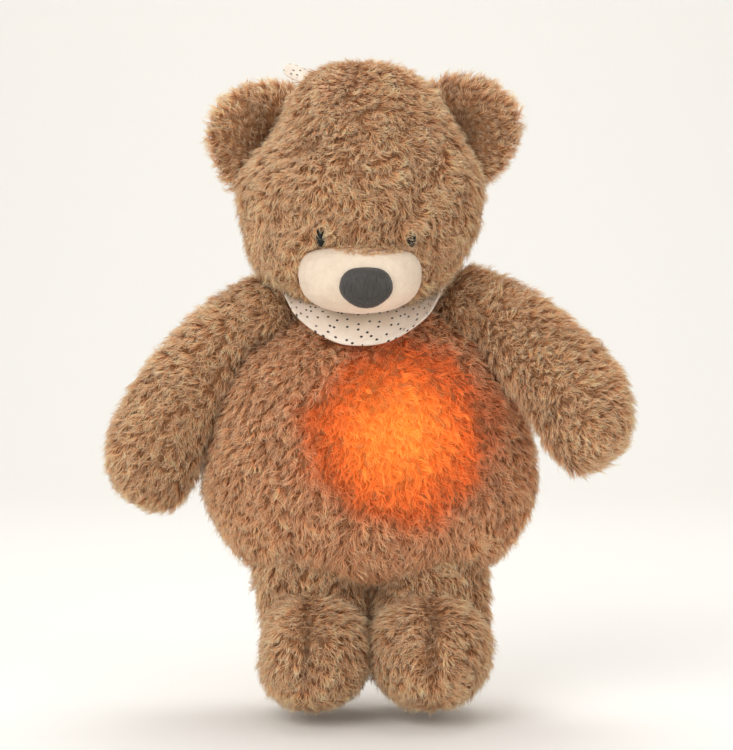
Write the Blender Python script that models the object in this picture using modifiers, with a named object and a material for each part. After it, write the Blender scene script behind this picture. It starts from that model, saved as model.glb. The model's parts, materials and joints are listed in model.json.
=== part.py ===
"""Plush bear night light that hangs on a cot rail.

A stuffed bear with swinging limbs, a strap that goes round the rail, and a light and sound module
that lies in a pocket in its back and shines through the belly. Units are metres and +Z is up. The
bear faces -Y. The origin is where the strap's inner face lies on top of the rail.
"""

import math

import bmesh
import bpy
from mathutils import Matrix, Vector

COLLECTION_NAME = "plush_night_light"
CUTTER_COLLECTION_NAME = "cutters"

# Fits
CLEARANCE = 0.0003
ROOT_CLEARANCE = 0.0008
OVERRUN = 0.002
WELD_DISTANCE = 0.00001

# Cot rail that the strap goes round, and the strap
RAIL_HEIGHT = 0.059
RAIL_DEPTH = 0.022
RAIL_CORNER = 0.003
STRAP_WIDTH = 0.016
STRAP_THICKNESS = 0.0016
STRAP_DRIFT = 0.024
STRAP_SEWN_DROP = 0.054
STRAP_SEWN_LENGTH = 0.012
STRAP_BRIDGE_LENGTH = 0.014
STRAP_BEND_DROP = 0.004
STRAP_BEND_RADIUS = 0.018
STRAP_BEND_ANGLE = math.radians(60)
STRAP_FREE_LENGTH = 0.009
STRAP_BEND_STEPS = 6
STRAP_CORNER_STEPS = 4
STRAP_END_STEPS = 5

# Hook and loop fastening of the strap
PAD_WIDTH = 0.013
HOOK_PAD_LENGTH = 0.026
LOOP_PAD_LENGTH = 0.034
HOOK_PAD_THICKNESS = 0.002
LOOP_PAD_THICKNESS = 0.0025
PAD_CORNER = 0.002
PAD_DROP = 0.042

# Head
HEAD_WIDTH = 0.122
HEAD_DEPTH = 0.120
HEAD_HEIGHT = 0.123
HEAD_TOP = 0.014
HEAD_SIDE_SHIFT = -0.004
HEAD_PRESSED_IN = 0.008
HEAD_SECTION_SHARES = (
    (0.0, 0.0, 0.0),
    (0.09, 0.50, 0.54),
    (0.28, 0.89, 0.88),
    (0.50, 1.00, 1.00),
    (0.74, 0.91, 0.90),
    (0.92, 0.56, 0.56),
    (1.0, 0.0, 0.0),
)

# Ears
EAR_WIDTH = 0.050
EAR_DEPTH = 0.018
EAR_HEIGHT = 0.057
EAR_SIDE_SHIFT = 0.002
EAR_CENTRE_OUT = 0.0545
EAR_DROP_LEFT = 0.0225
EAR_DROP_RIGHT = 0.0195
EAR_BACK_SET = 0.004
EAR_TILT = math.radians(14)
EAR_TURN = math.radians(20)
EAR_CUP_RADIUS = 0.030
EAR_CUP_DEPTH = 0.005
ROUND_SECTION_SHARES = (
    (0.0, 0.0, 0.0),
    (0.09, 0.56, 0.56),
    (0.28, 0.92, 0.90),
    (0.50, 1.00, 1.00),
    (0.74, 0.90, 0.90),
    (0.92, 0.56, 0.56),
    (1.0, 0.0, 0.0),
)

# Face
MUZZLE_WIDTH = 0.062
MUZZLE_DEPTH = 0.052
MUZZLE_HEIGHT = 0.0345
MUZZLE_DROP = 0.0965
MUZZLE_FORWARD = 0.044
MUZZLE_SECTION_SHARES = (
    (0.0, 0.0, 0.0),
    (0.04, 0.74, 0.60),
    (0.18, 0.96, 0.86),
    (0.44, 1.00, 1.00),
    (0.70, 0.93, 0.94),
    (0.90, 0.64, 0.60),
    (1.0, 0.0, 0.0),
)
NOSE_WIDTH = 0.0266
NOSE_DEPTH = 0.012
NOSE_HEIGHT = 0.0204
NOSE_BELOW_MUZZLE = 0.004
NOSE_SIDE_SHIFT = 0.003
EYE_WIDTH = 0.006
EYE_DEPTH = 0.007
EYE_HEIGHT = 0.011
EYE_APART = 0.044
EYE_SIDE_SHIFT = 0.003
EYE_DROP = 0.0735
EYE_FORWARD = 0.053

# Torso
TORSO_WIDTH = 0.170
TORSO_DEPTH = 0.094
TORSO_HEIGHT = 0.138
TORSO_TOP_DROP = 0.112
TORSO_SIDE_SHIFT = 0.001
TORSO_BACK_SET = 0.006
TORSO_PRESSED_IN = 0.012
TORSO_SECTION_SHARES = (
    (0.0, 0.0, 0.0),
    (0.05, 0.56, 0.46),
    (0.15, 0.76, 0.76),
    (0.32, 0.88, 0.96),
    (0.50, 0.97, 1.0),
    (0.68, 1.0, 1.0),
    (0.84, 0.92, 0.92),
    (0.96, 0.66, 0.64),
    (1.0, 0.0, 0.0),
)
NECK_RADIUS = 0.026
NECK_DROP = 0.104
NECK_BACK_SET = 0.064

# Arms
ARM_LENGTH = 0.116
ARM_WIDTH = 0.048
ARM_DEPTH = 0.044
ARM_BOW = 0.0125
ARM_ROOT_RADIUS = 0.019
SHOULDER_OUT = 0.054
SHOULDER_DROP = 0.115
SHOULDER_BACK_SET = 0.062
ARM_SPREAD_LEFT = math.radians(35)
ARM_SPREAD_RIGHT = math.radians(44)
ARM_FORWARD_LEFT = math.radians(3)
ARM_FORWARD_RIGHT = math.radians(31)
ARM_SECTION_SHARES = (
    (0.0, 0.0, 0.0),
    (0.06, 0.46, 0.50),
    (0.20, 0.74, 0.80),
    (0.42, 0.84, 0.88),
    (0.66, 0.96, 0.96),
    (0.84, 1.0, 1.0),
    (0.96, 0.74, 0.74),
    (1.0, 0.0, 0.0),
)
ARM_RAISE = math.radians(50)

# Legs and feet
LEG_LENGTH = 0.063
LEG_WIDTH = 0.058
LEG_DEPTH = 0.054
LEG_ROOT_RADIUS = 0.028
LEG_APART = 0.063
HIP_DROP = 0.245
HIP_BACK_SET = 0.066
LEG_SECTION_SHARES = (
    (0.0, 0.0, 0.0),
    (0.07, 0.56, 0.56),
    (0.26, 0.90, 0.88),
    (0.50, 0.98, 0.97),
    (0.74, 1.0, 1.0),
    (0.94, 0.70, 0.70),
    (1.0, 0.0, 0.0),
)
LEG_SWING = math.radians(35)
FOOT_WIDTH = 0.057
FOOT_LENGTH = 0.072
FOOT_HEIGHT = 0.055
FOOT_FORWARD = 0.026
FOOT_DROP = 0.285
FOOT_SECTION_SHARES = (
    (0.0, 0.0, 0.0),
    (0.08, 0.50, 0.50),
    (0.28, 0.86, 0.88),
    (0.55, 1.0, 1.0),
    (0.80, 0.88, 0.88),
    (0.95, 0.54, 0.54),
    (1.0, 0.0, 0.0),
)
SWEEP_STEPS = 5

# Neckerchief
KERCHIEF_THICKNESS = 0.0015
KERCHIEF_NECK_DROP = 0.1105
KERCHIEF_SIDE_DROP = 0.0997
KERCHIEF_FRONT_DROP = 0.1295
KERCHIEF_BACK_DROP = 0.106
KERCHIEF_SIDE_REACH = 0.040
KERCHIEF_FRONT_REACH = 0.0445
KERCHIEF_BACK_REACH = 0.034
KERCHIEF_FOLD_HEIGHT = 0.0012
KERCHIEF_SQUARE_SHARE = 0.6
KERCHIEF_FOLDS = 9
KERCHIEF_STEPS_ROUND = 54
KERCHIEF_STEPS_DOWN = 3

# Light and sound module
MODULE_WIDTH = 0.070
MODULE_HEIGHT = 0.074
MODULE_DEPTH = 0.026
MODULE_CORNER = 0.020
MODULE_CENTRE_X = 0.014
MODULE_ABOVE_TORSO_MIDDLE = 0.011
MODULE_FRONT_BEHIND_BELLY = 0.022
FRONT_SHELL_SHARE = 0.5
SHELL_WALL = 0.002
SHELL_EDGE = 0.003
CORNER_STEPS = 4

# Light dome
DOME_RADIUS = 0.024
DOME_RISE = 0.010
DOME_WALL = 0.0015
DOME_FLANGE = 0.002
DOME_STEPS = 24
DOME_PROFILE_STEPS = 4

# Circuit board and what it carries
BOARD_WIDTH = 0.060
BOARD_HEIGHT = 0.064
BOARD_CORNER = 0.015
BOARD_THICKNESS = 0.0016
BOARD_BEHIND_FRONT = 0.0084
EMITTER_COUNT = 3
EMITTER_RING_RADIUS = 0.012
EMITTER_RADIUS = 0.0025
EMITTER_HEIGHT = 0.0018
MICROPHONE_RADIUS = 0.0022
MICROPHONE_HEIGHT = 0.0024
MICROPHONE_SIDE = 0.004
MICROPHONE_RISE = 0.012
MICROPHONE_HOLE_RADIUS = 0.0008

# Speaker
SPEAKER_RADIUS = 0.013
SPEAKER_DEPTH = 0.0062
SPEAKER_MAGNET_RADIUS = 0.0065
SPEAKER_MAGNET_DEPTH = 0.0028
SPEAKER_FLANGE = 0.0012
SPEAKER_SIDE = -0.014
SPEAKER_RISE = 0.0206
SPEAKER_STEPS = 24
CONE_DEPTH = 0.0024
CONE_WALL = 0.0006
CONE_CAP_RADIUS = 0.004
GRILLE_SLOT = 0.0016
GRILLE_PITCH = 0.0034
GRILLE_RADIUS = 0.0105

# Buttons and switch
BUTTON_RADIUS = 0.0038
BUTTON_FLANGE_RADIUS = 0.0046
BUTTON_FLANGE = 0.0008
BUTTON_PROUD = 0.0014
BUTTON_PITCH = 0.0098
BUTTON_FIRST_SIDE = 0.0046
BUTTON_RISE = 0.023
BUTTON_DISH = 0.0003
BUTTON_STEPS = 16
BUTTON_NAMES = ("light_button", "sound_button", "volume_button")
SWITCH_TRAVEL = 0.003
SWITCH_KNOB_WIDTH = 0.004
SWITCH_KNOB_HEIGHT = 0.003
SWITCH_PROUD = 0.0012
SWITCH_PLATE_HEIGHT = 0.0055
SWITCH_PLATE_THICKNESS = 0.0008
SWITCH_SIDE = 0.0155
SWITCH_RISE = 0.0115
SWITCH_GRIP = 0.0004

# Cells, their bay and contacts
CELL_COUNT = 3
CELL_RADIUS = 0.00515
CELL_LENGTH = 0.0437
CELL_PITCH = 0.0108
CELL_NUB_RADIUS = 0.0019
CELL_NUB = 0.0008
CELL_CHAMFER = 0.0005
CELL_STEPS = 16
BAY_WIDTH = 0.0494
BAY_WALL = 0.0013
BAY_RISE = -0.012
BAY_SIDE_ROOM = 0.0006
BAY_FLOOR_ROOM = 0.0006
CONTACT_THICKNESS = 0.0004
CONTACT_HEIGHT = 0.0085
CONTACT_DEPTH = 0.0085
SPRING_WIRE = 0.0004
SPRING_TURNS = 3
SPRING_WIDE_RADIUS = 0.0034
SPRING_NARROW_RADIUS = 0.0019
SPRING_POINTS_A_TURN = 8

# Battery door
DOOR_WIDTH = 0.052
DOOR_CORNER = 0.004
DOOR_THICKNESS = 0.0022
DOOR_OVERLAP = 0.0016
DOOR_TONGUE_RADIUS = 0.0036
DOOR_TONGUE_REACH = 0.00185
DOOR_RIB = 0.0007
DOOR_RIB_COUNT = 5
DOOR_RIB_PITCH = 0.0025
DOOR_RIB_LENGTH = 0.014

# Screws
SCREW_HEAD_RADIUS = 0.0021
SCREW_HEAD = 0.0012
SCREW_SHANK_RADIUS = 0.0011
SCREW_STEPS = 12
SCREW_SLOT = 0.0005
DOOR_SCREW_LENGTH = 0.0035
DOOR_SCREW_ROOM = 0.0004
CASE_SCREW_ROOM = 0.00025
BOSS_RADIUS = 0.0028
BOSS_PILOT_DEPTH = 0.005
COUNTERBORE = 0.0025
BOSS_PLACE_SHARES = ((-0.843, 0.054), (0.843, 0.054), (-0.01, 0.843))

# Pocket, liner and flap
LINER_THICKNESS = 0.001
LINER_MOUTH_INSET = 0.0004
FLAP_MARGIN = 0.004
FLAP_HEM = 0.010
FLAP_CORNER = 0.022
FLAP_THICKNESS = 0.0028
STRIP_WIDTH = 0.040
STRIP_HEIGHT = 0.0065
STRIP_THICKNESS = 0.0012

# Detail of the soft forms
LARGE_FORM_SEGMENTS = 6
FORM_SEGMENTS = 12
SMALL_FORM_SEGMENTS = 6
BALL_SEGMENTS = 20
BALL_RINGS = 10

# Derived places, front to back
RAIL_FRONT_Y = -RAIL_DEPTH / 2
STRAP_FRONT_Y = RAIL_FRONT_Y - STRAP_THICKNESS
STRAP_START_X = STRAP_DRIFT * (RAIL_DEPTH / 2) / (2 * RAIL_DEPTH + RAIL_HEIGHT)
STRAP_TAIL_X = STRAP_START_X - STRAP_DRIFT
HOOK_PAD_Y = STRAP_FRONT_Y - CLEARANCE
LOOP_PAD_Y = HOOK_PAD_Y - HOOK_PAD_THICKNESS - CLEARANCE
HEAD_BACK_Y = LOOP_PAD_Y - LOOP_PAD_THICKNESS - CLEARANCE
HEAD_CENTRE = Vector((
    HEAD_SIDE_SHIFT,
    HEAD_BACK_Y + HEAD_PRESSED_IN - HEAD_DEPTH / 2,
    HEAD_TOP - HEAD_HEIGHT / 2,
))
TORSO_FLAT_Y = RAIL_FRONT_Y - TORSO_BACK_SET - TORSO_PRESSED_IN + CLEARANCE
TORSO_CENTRE = Vector((
    TORSO_SIDE_SHIFT,
    TORSO_FLAT_Y + TORSO_PRESSED_IN - TORSO_DEPTH / 2,
    -TORSO_TOP_DROP - TORSO_HEIGHT / 2,
))
NECK_CENTRE = Vector((0, -NECK_BACK_SET, -NECK_DROP))
MODULE_FRONT_Y = TORSO_CENTRE.y - TORSO_DEPTH / 2 + MODULE_FRONT_BEHIND_BELLY
MODULE_BACK_Y = MODULE_FRONT_Y + MODULE_DEPTH
PARTING_Y = MODULE_FRONT_Y + MODULE_DEPTH * FRONT_SHELL_SHARE
MODULE_CENTRE_Z = TORSO_CENTRE.z + MODULE_ABOVE_TORSO_MIDDLE
BOARD_FRONT_Y = MODULE_FRONT_Y + BOARD_BEHIND_FRONT
BOARD_BACK_Y = BOARD_FRONT_Y + BOARD_THICKNESS
DOOR_FRONT_Y = MODULE_BACK_Y - DOOR_THICKNESS
CELL_Y = DOOR_FRONT_Y - CLEARANCE - CELL_RADIUS
BAY_HEIGHT = CELL_PITCH * (CELL_COUNT - 1) + 2 * (CELL_RADIUS + BAY_SIDE_ROOM)
BAY_Z = MODULE_CENTRE_Z + BAY_RISE
BAY_FLOOR_Y = CELL_Y - CELL_RADIUS - BAY_FLOOR_ROOM
DOOR_HEIGHT = BAY_HEIGHT + 2 * DOOR_OVERLAP
DOOR_SCREW_Z = BAY_Z - DOOR_HEIGHT / 2 - DOOR_TONGUE_REACH
FLAP_WIDTH = MODULE_WIDTH + 2 * (LINER_THICKNESS + FLAP_MARGIN)
FLAP_TOP_Z = MODULE_CENTRE_Z + MODULE_HEIGHT / 2 + LINER_THICKNESS + FLAP_MARGIN
FLAP_BOTTOM_Z = MODULE_CENTRE_Z - MODULE_HEIGHT / 2 - LINER_THICKNESS - FLAP_HEM
FLAP_FRONT_Y = TORSO_FLAT_Y + CLEARANCE
STRIP_Z = (FLAP_BOTTOM_Z + MODULE_CENTRE_Z - MODULE_HEIGHT / 2 - LINER_THICKNESS) / 2


def clear_scene():
    """Remove the objects, meshes and curves that the scene starts with."""
    for old in list(bpy.data.objects):
        bpy.data.objects.remove(old, do_unlink=True)


def make_collection(name):
    """Make a collection in the scene."""
    collection = bpy.data.collections.new(name)
    bpy.context.scene.collection.children.link(collection)
    return collection


def make_material(name, hex_colour, roughness, metallic=0.0):
    """Make a Principled material from an sRGB hex colour."""
    material = bpy.data.materials.new(name)
    material.use_nodes = True
    shader = material.node_tree.nodes["Principled BSDF"]
    channels = [int(hex_colour[start:start + 2], 16) / 255 for start in (0, 2, 4)]
    linear = [c / 12.92 if c <= 0.04045 else ((c + 0.055) / 1.055) ** 2.4 for c in channels]
    shader.inputs["Base Color"].default_value = (*linear, 1)
    shader.inputs["Roughness"].default_value = roughness
    shader.inputs["Metallic"].default_value = metallic
    material.diffuse_color = (*linear, 1)
    return material


def place(obj, material=None):
    """Put a piece in the object's collection, or a cutter in the cutters' one."""
    if material is None:
        bpy.data.collections[CUTTER_COLLECTION_NAME].objects.link(obj)
        obj.hide_render = True
        obj.display_type = "WIRE"
        return obj
    bpy.data.collections[COLLECTION_NAME].objects.link(obj)
    obj.data.materials.clear()
    obj.data.materials.append(material)
    return obj


def mesh_object(name, bm, material=None, sharp_angle=math.radians(35)):
    """Turn a bmesh into an object, smooth except at its sharp edges."""
    bmesh.ops.recalc_face_normals(bm, faces=bm.faces)
    mesh = bpy.data.meshes.new(name)
    bm.to_mesh(mesh)
    bm.free()
    mesh.shade_smooth()
    mesh.set_sharp_from_angle(angle=sharp_angle)
    return place(bpy.data.objects.new(name, mesh), material)


def facing_back(x, y, z):
    """Matrix of a piece whose own +Z points to the world's +Y, at a place in the world."""
    return Matrix.Translation((x, y, z)) @ Matrix.Rotation(-math.pi / 2, 4, "X")


def block(name, low, high, material=None):
    """A box between two corners."""
    bm = bmesh.new()
    bmesh.ops.create_cube(bm, size=1)
    low, high = Vector(low), Vector(high)
    size = high - low
    middle = (high + low) / 2
    for vert in bm.verts:
        vert.co = Vector((vert.co.x * size.x, vert.co.y * size.y, vert.co.z * size.z)) + middle
    return mesh_object(name, bm, material)


def ball(name, centre, radius, material=None):
    """A sphere."""
    bm = bmesh.new()
    bmesh.ops.create_uvsphere(bm, u_segments=BALL_SEGMENTS, v_segments=BALL_RINGS, radius=radius)
    bmesh.ops.translate(bm, verts=bm.verts, vec=centre)
    return mesh_object(name, bm, material)


def turned(name, profile, steps, matrix, material=None):
    """A turned shape from (radius, height) points that run down its outer side, top to bottom."""
    mesh = bpy.data.meshes.new(name)
    points = [(radius, 0, height) for radius, height in profile]
    mesh.from_pydata(points, [(i, i + 1) for i in range(len(points) - 1)], [])
    piece = place(bpy.data.objects.new(name, mesh), material)
    piece.matrix_world = matrix
    screw = piece.modifiers.new("Turn", "SCREW")
    screw.axis = "Z"
    screw.angle = math.tau
    screw.steps = steps
    screw.render_steps = steps
    screw.use_merge_vertices = True
    screw.merge_threshold = WELD_DISTANCE
    screw.use_smooth_shade = True
    return piece


def rod(name, radius, start_y, end_y, x, z, steps, material=None):
    """A cylinder along Y between two places."""
    bm = bmesh.new()
    bmesh.ops.create_cone(
        bm, cap_ends=True, segments=steps, radius1=radius, radius2=radius, depth=end_y - start_y
    )
    bmesh.ops.transform(bm, matrix=facing_back(x, (start_y + end_y) / 2, z), verts=bm.verts)
    return mesh_object(name, bm, material)


def rounded_outline(width, height, corner, steps=CORNER_STEPS):
    """Points round a rectangle with round corners, anticlockwise."""
    points = []
    for index, (side, rise) in enumerate(((1, 1), (-1, 1), (-1, -1), (1, -1))):
        for step in range(steps + 1):
            angle = math.pi / 2 * (index + step / steps)
            x = side * (width / 2 - corner) + corner * math.cos(angle)
            y = rise * (height / 2 - corner) + corner * math.sin(angle)
            points.append((x, y))
    return points


def plate(name, outlines, x, z, start_y, end_y, material=None, edge=0.0):
    """A flat plate in the XZ plane from outlines, its faces at two places along Y.

    The first outline is the rim and the others are holes.
    """
    curve = bpy.data.curves.new(name, "CURVE")
    curve.dimensions = "2D"
    curve.fill_mode = "BOTH"
    curve.extrude = (end_y - start_y) / 2
    for outline in outlines:
        spline = curve.splines.new("POLY")
        spline.points.add(len(outline) - 1)
        for point, (u, v) in zip(spline.points, outline):
            point.co = (u, v, 0, 1)
        spline.use_cyclic_u = True
    shape = bpy.data.objects.new(name, curve)
    bpy.context.scene.collection.objects.link(shape)
    bpy.context.view_layer.update()
    depsgraph = bpy.context.evaluated_depsgraph_get()
    bm = bmesh.new()
    bm.from_mesh(bpy.data.meshes.new_from_object(shape.evaluated_get(depsgraph)))
    bpy.data.objects.remove(shape, do_unlink=True)
    bmesh.ops.remove_doubles(bm, verts=bm.verts, dist=WELD_DISTANCE)
    turn = Matrix.Rotation(math.pi / 2, 4, "X")
    bmesh.ops.transform(bm, matrix=turn, verts=bm.verts)
    bmesh.ops.translate(bm, verts=bm.verts, vec=(x, (start_y + end_y) / 2, z))
    piece = mesh_object(name, bm, material)
    if edge:
        bevel = piece.modifiers.new("Soft edge", "BEVEL")
        bevel.width = edge
        bevel.segments = 2
        bevel.limit_method = "ANGLE"
        bevel.angle_limit = math.radians(60)
    return piece


def combine(target, other, operation):
    """Add an exact Boolean with a cutter or a piece to join."""
    boolean = target.modifiers.new(operation.title(), "BOOLEAN")
    boolean.operation = operation
    boolean.solver = "EXACT"
    boolean.object = other


def cut(target, *cutters):
    """Take cutters out of a piece."""
    for cutter in cutters:
        combine(target, cutter, "DIFFERENCE")


def join(target, *others):
    """Join helpers to a piece."""
    for other in others:
        combine(target, other, "UNION")


def evaluated_points(obj):
    """The points of an object as its modifiers leave it, in its own axes."""
    bpy.context.view_layer.update()
    mesh = obj.evaluated_get(bpy.context.evaluated_depsgraph_get()).data
    return [vert.co.copy() for vert in mesh.vertices]


def soft_form(name, size, sections, segments=FORM_SEGMENTS, levels=1, material=None):
    """A stuffed form: a cage of rings down its length, subdivided and fitted to its true size.

    The sections are shares of height, width and depth. The form is centred on its own origin.
    """
    bm = bmesh.new()
    rings = len(sections) - 1
    bmesh.ops.create_uvsphere(bm, u_segments=segments, v_segments=rings, radius=1)
    for vert in bm.verts:
        ring = round(math.acos(max(-1, min(1, vert.co.z))) * rings / math.pi)
        down, wide, deep = sections[ring]
        flat = Vector((vert.co.x, vert.co.y))
        if flat.length:
            flat.normalize()
        vert.co = Vector((flat.x * wide / 2, flat.y * deep / 2, 1 / 2 - down))
    form = mesh_object(name, bm, material)
    subdivision = form.modifiers.new("Stuffing", "SUBSURF")
    subdivision.levels = levels
    subdivision.render_levels = levels
    points = evaluated_points(form)
    for axis in range(3):
        low = min(point[axis] for point in points)
        high = max(point[axis] for point in points)
        for vert in form.data.vertices:
            vert.co[axis] = (vert.co[axis] - (low + high) / 2) * size[axis] / (high - low)
    return form


def grown(size, amount=CLEARANCE):
    """A form's size with a clearance all round."""
    return Vector(size) + Vector((2, 2, 2)) * amount


def swept_cut(limb, pivot, axis, swing):
    """Cut a limb by the torso's form at every step of the limb's swing about a pivot."""
    for step in range(SWEEP_STEPS + 1):
        turn = Matrix.Rotation(-swing * step / SWEEP_STEPS, 4, axis)
        cutter = torso_form(f"{limb.name}_sweep_{step}", ROOT_CLEARANCE)
        rest = Matrix.Translation(TORSO_CENTRE)
        cutter.matrix_world = Matrix.Translation(pivot) @ turn @ Matrix.Translation(-pivot) @ rest
        cut(limb, cutter)


def make_head(fur):
    """The head, pressed flat where it lies on the rail, with a socket for the neck."""
    size = (HEAD_WIDTH, HEAD_DEPTH, HEAD_HEIGHT)
    head = soft_form("head", size, HEAD_SECTION_SHARES, LARGE_FORM_SEGMENTS, 2, fur)
    head.location = HEAD_CENTRE
    flat = block(
        "head_flat_cut",
        HEAD_CENTRE + Vector((-HEAD_WIDTH, 0, -HEAD_HEIGHT)),
        HEAD_CENTRE + Vector((HEAD_WIDTH, HEAD_DEPTH, HEAD_HEIGHT)),
    )
    flat.location.y = HEAD_BACK_Y - HEAD_CENTRE.y
    cut(head, flat, ball("neck_socket_cut", NECK_CENTRE, NECK_RADIUS + ROOT_CLEARANCE))
    return head


def head_cutter():
    """The head with its clearance, which cuts what is sewn on it."""
    size = grown((HEAD_WIDTH, HEAD_DEPTH, HEAD_HEIGHT))
    cutter = soft_form("head_clearance", size, HEAD_SECTION_SHARES, LARGE_FORM_SEGMENTS, 2)
    cutter.location = HEAD_CENTRE
    return cutter


def make_ears(fur, cutter):
    """Two flat ears with a cupped front, cut by the head."""
    for name, side, drop in (("ear_left", -1, EAR_DROP_LEFT), ("ear_right", 1, EAR_DROP_RIGHT)):
        ear = soft_form(name, (EAR_WIDTH, EAR_DEPTH, EAR_HEIGHT), ROUND_SECTION_SHARES, material=fur)
        out = EAR_SIDE_SHIFT + side * EAR_CENTRE_OUT
        place_in_head = Vector((out, EAR_BACK_SET, -drop - HEAD_CENTRE.z))
        turn = Matrix.Rotation(side * EAR_TILT, 4, "Y") @ Matrix.Rotation(-side * EAR_TURN, 4, "Z")
        ear.matrix_world = Matrix.Translation(HEAD_CENTRE + place_in_head) @ turn
        cup_back = EAR_CUP_DEPTH - EAR_DEPTH / 2 - EAR_CUP_RADIUS
        cup = ball(f"{name}_cup_cut", (0, cup_back, 0), EAR_CUP_RADIUS)
        cup.matrix_world = ear.matrix_world.copy()
        cut(ear, cup, cutter)


def make_face(velour, thread, cutter):
    """Muzzle, nose and eyes, each cut by what carries it."""
    muzzle_centre = Vector((HEAD_CENTRE.x, HEAD_CENTRE.y - MUZZLE_FORWARD, -MUZZLE_DROP))
    muzzle_size = Vector((MUZZLE_WIDTH, MUZZLE_DEPTH, MUZZLE_HEIGHT))
    muzzle = soft_form("muzzle", muzzle_size, MUZZLE_SECTION_SHARES, material=velour)
    muzzle.location = muzzle_centre
    cut(muzzle, cutter)
    muzzle_clearance = soft_form("muzzle_clearance", grown(muzzle_size), MUZZLE_SECTION_SHARES)
    muzzle_clearance.location = muzzle_centre
    nose_size = (NOSE_WIDTH, NOSE_DEPTH, NOSE_HEIGHT)
    nose = soft_form("nose", nose_size, ROUND_SECTION_SHARES, SMALL_FORM_SEGMENTS, 1, thread)
    nose.location = muzzle_centre + Vector((NOSE_SIDE_SHIFT, -MUZZLE_DEPTH / 2, -NOSE_BELOW_MUZZLE))
    cut(nose, muzzle_clearance)
    for name, side in (("eye_left", -1), ("eye_right", 1)):
        eye_size = (EYE_WIDTH, EYE_DEPTH, EYE_HEIGHT)
        eye = soft_form(name, eye_size, ROUND_SECTION_SHARES, SMALL_FORM_SEGMENTS, 1, thread)
        eye.location = (
            HEAD_CENTRE.x + EYE_SIDE_SHIFT + side * EYE_APART / 2,
            HEAD_CENTRE.y - EYE_FORWARD,
            -EYE_DROP,
        )
        cut(eye, cutter)


def torso_form(name, grow, material=None):
    """The torso's stuffed form, without neck, sockets or pocket."""
    size = grown((TORSO_WIDTH, TORSO_DEPTH, TORSO_HEIGHT), grow)
    torso = soft_form(name, size, TORSO_SECTION_SHARES, LARGE_FORM_SEGMENTS, 2, material)
    torso.location = TORSO_CENTRE
    return torso


def shoulder(side):
    """Centre of a shoulder."""
    return Vector((side * SHOULDER_OUT, -SHOULDER_BACK_SET, -SHOULDER_DROP))


def hip(side):
    """Centre of a hip."""
    return Vector((TORSO_SIDE_SHIFT + side * LEG_APART / 2, -HIP_BACK_SET, -HIP_DROP))


def module_prism(name, grow, start_y, end_y):
    """A cutter of the module's outline with a margin."""
    outline = rounded_outline(MODULE_WIDTH + 2 * grow, MODULE_HEIGHT + 2 * grow, MODULE_CORNER + grow)
    return plate(name, [outline], MODULE_CENTRE_X, MODULE_CENTRE_Z, start_y, end_y)


def dome_rod(name, grow, start_y, end_y):
    """A cutter of the light dome's outline with a margin."""
    radius = DOME_RADIUS + grow
    return rod(name, radius, start_y, end_y, MODULE_CENTRE_X, MODULE_CENTRE_Z, DOME_STEPS)


def make_torso(fur):
    """The torso with its neck, limb sockets, flat back and the pocket for the module."""
    torso = torso_form("torso", 0, fur)
    join(torso, ball("neck_ball", NECK_CENTRE, NECK_RADIUS))
    back = block(
        "torso_flat_cut",
        (-TORSO_WIDTH, TORSO_FLAT_Y, -2 * TORSO_TOP_DROP - TORSO_HEIGHT),
        (TORSO_WIDTH, TORSO_FLAT_Y + TORSO_DEPTH, 0),
    )
    cut(torso, back)
    for side in (-1, 1):
        cut(torso, ball(f"shoulder_socket_cut_{side}", shoulder(side), ARM_ROOT_RADIUS + ROOT_CLEARANCE))
        cut(torso, ball(f"hip_socket_cut_{side}", hip(side), LEG_ROOT_RADIUS + ROOT_CLEARANCE))
    room = 2 * CLEARANCE + LINER_THICKNESS
    dome_front = MODULE_FRONT_Y - DOME_RISE
    pocket = module_prism("pocket_cut", room, MODULE_FRONT_Y - room, TORSO_FLAT_Y + OVERRUN)
    dome_recess = dome_rod("dome_recess_cut", room, dome_front - room, MODULE_FRONT_Y)
    strip = strip_block("strip_recess_cut", FLAP_FRONT_Y - STRIP_THICKNESS - 3 * CLEARANCE, OVERRUN, CLEARANCE)
    cut(torso, pocket, dome_recess, strip)
    return torso


def strip_block(name, start_y, reach, grow, material=None):
    """A strip across the flap's hem."""
    half = Vector((STRIP_WIDTH / 2 + grow, 0, STRIP_HEIGHT / 2 + grow))
    low = Vector((MODULE_CENTRE_X, start_y, STRIP_Z)) - half
    high = Vector((MODULE_CENTRE_X, start_y + STRIP_THICKNESS + reach, STRIP_Z)) + half
    return block(name, low, high, material)


def make_liner(cotton):
    """The pocket's cloth liner, a bag that follows the module and its dome."""
    mouth_y = TORSO_FLAT_Y - LINER_MOUTH_INSET
    outside = CLEARANCE + LINER_THICKNESS
    dome_front = MODULE_FRONT_Y - DOME_RISE
    outline = rounded_outline(
        MODULE_WIDTH + 2 * outside, MODULE_HEIGHT + 2 * outside, MODULE_CORNER + outside
    )
    front_y = MODULE_FRONT_Y - outside
    liner = plate("pocket_liner", [outline], MODULE_CENTRE_X, MODULE_CENTRE_Z, front_y, mouth_y, cotton)
    join(liner, dome_rod("liner_dome", outside, dome_front - outside, MODULE_FRONT_Y))
    cut(liner, module_prism("liner_room_cut", CLEARANCE, MODULE_FRONT_Y - CLEARANCE, mouth_y + OVERRUN))
    cut(liner, dome_rod("liner_dome_cut", CLEARANCE, dome_front - CLEARANCE, PARTING_Y))


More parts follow.
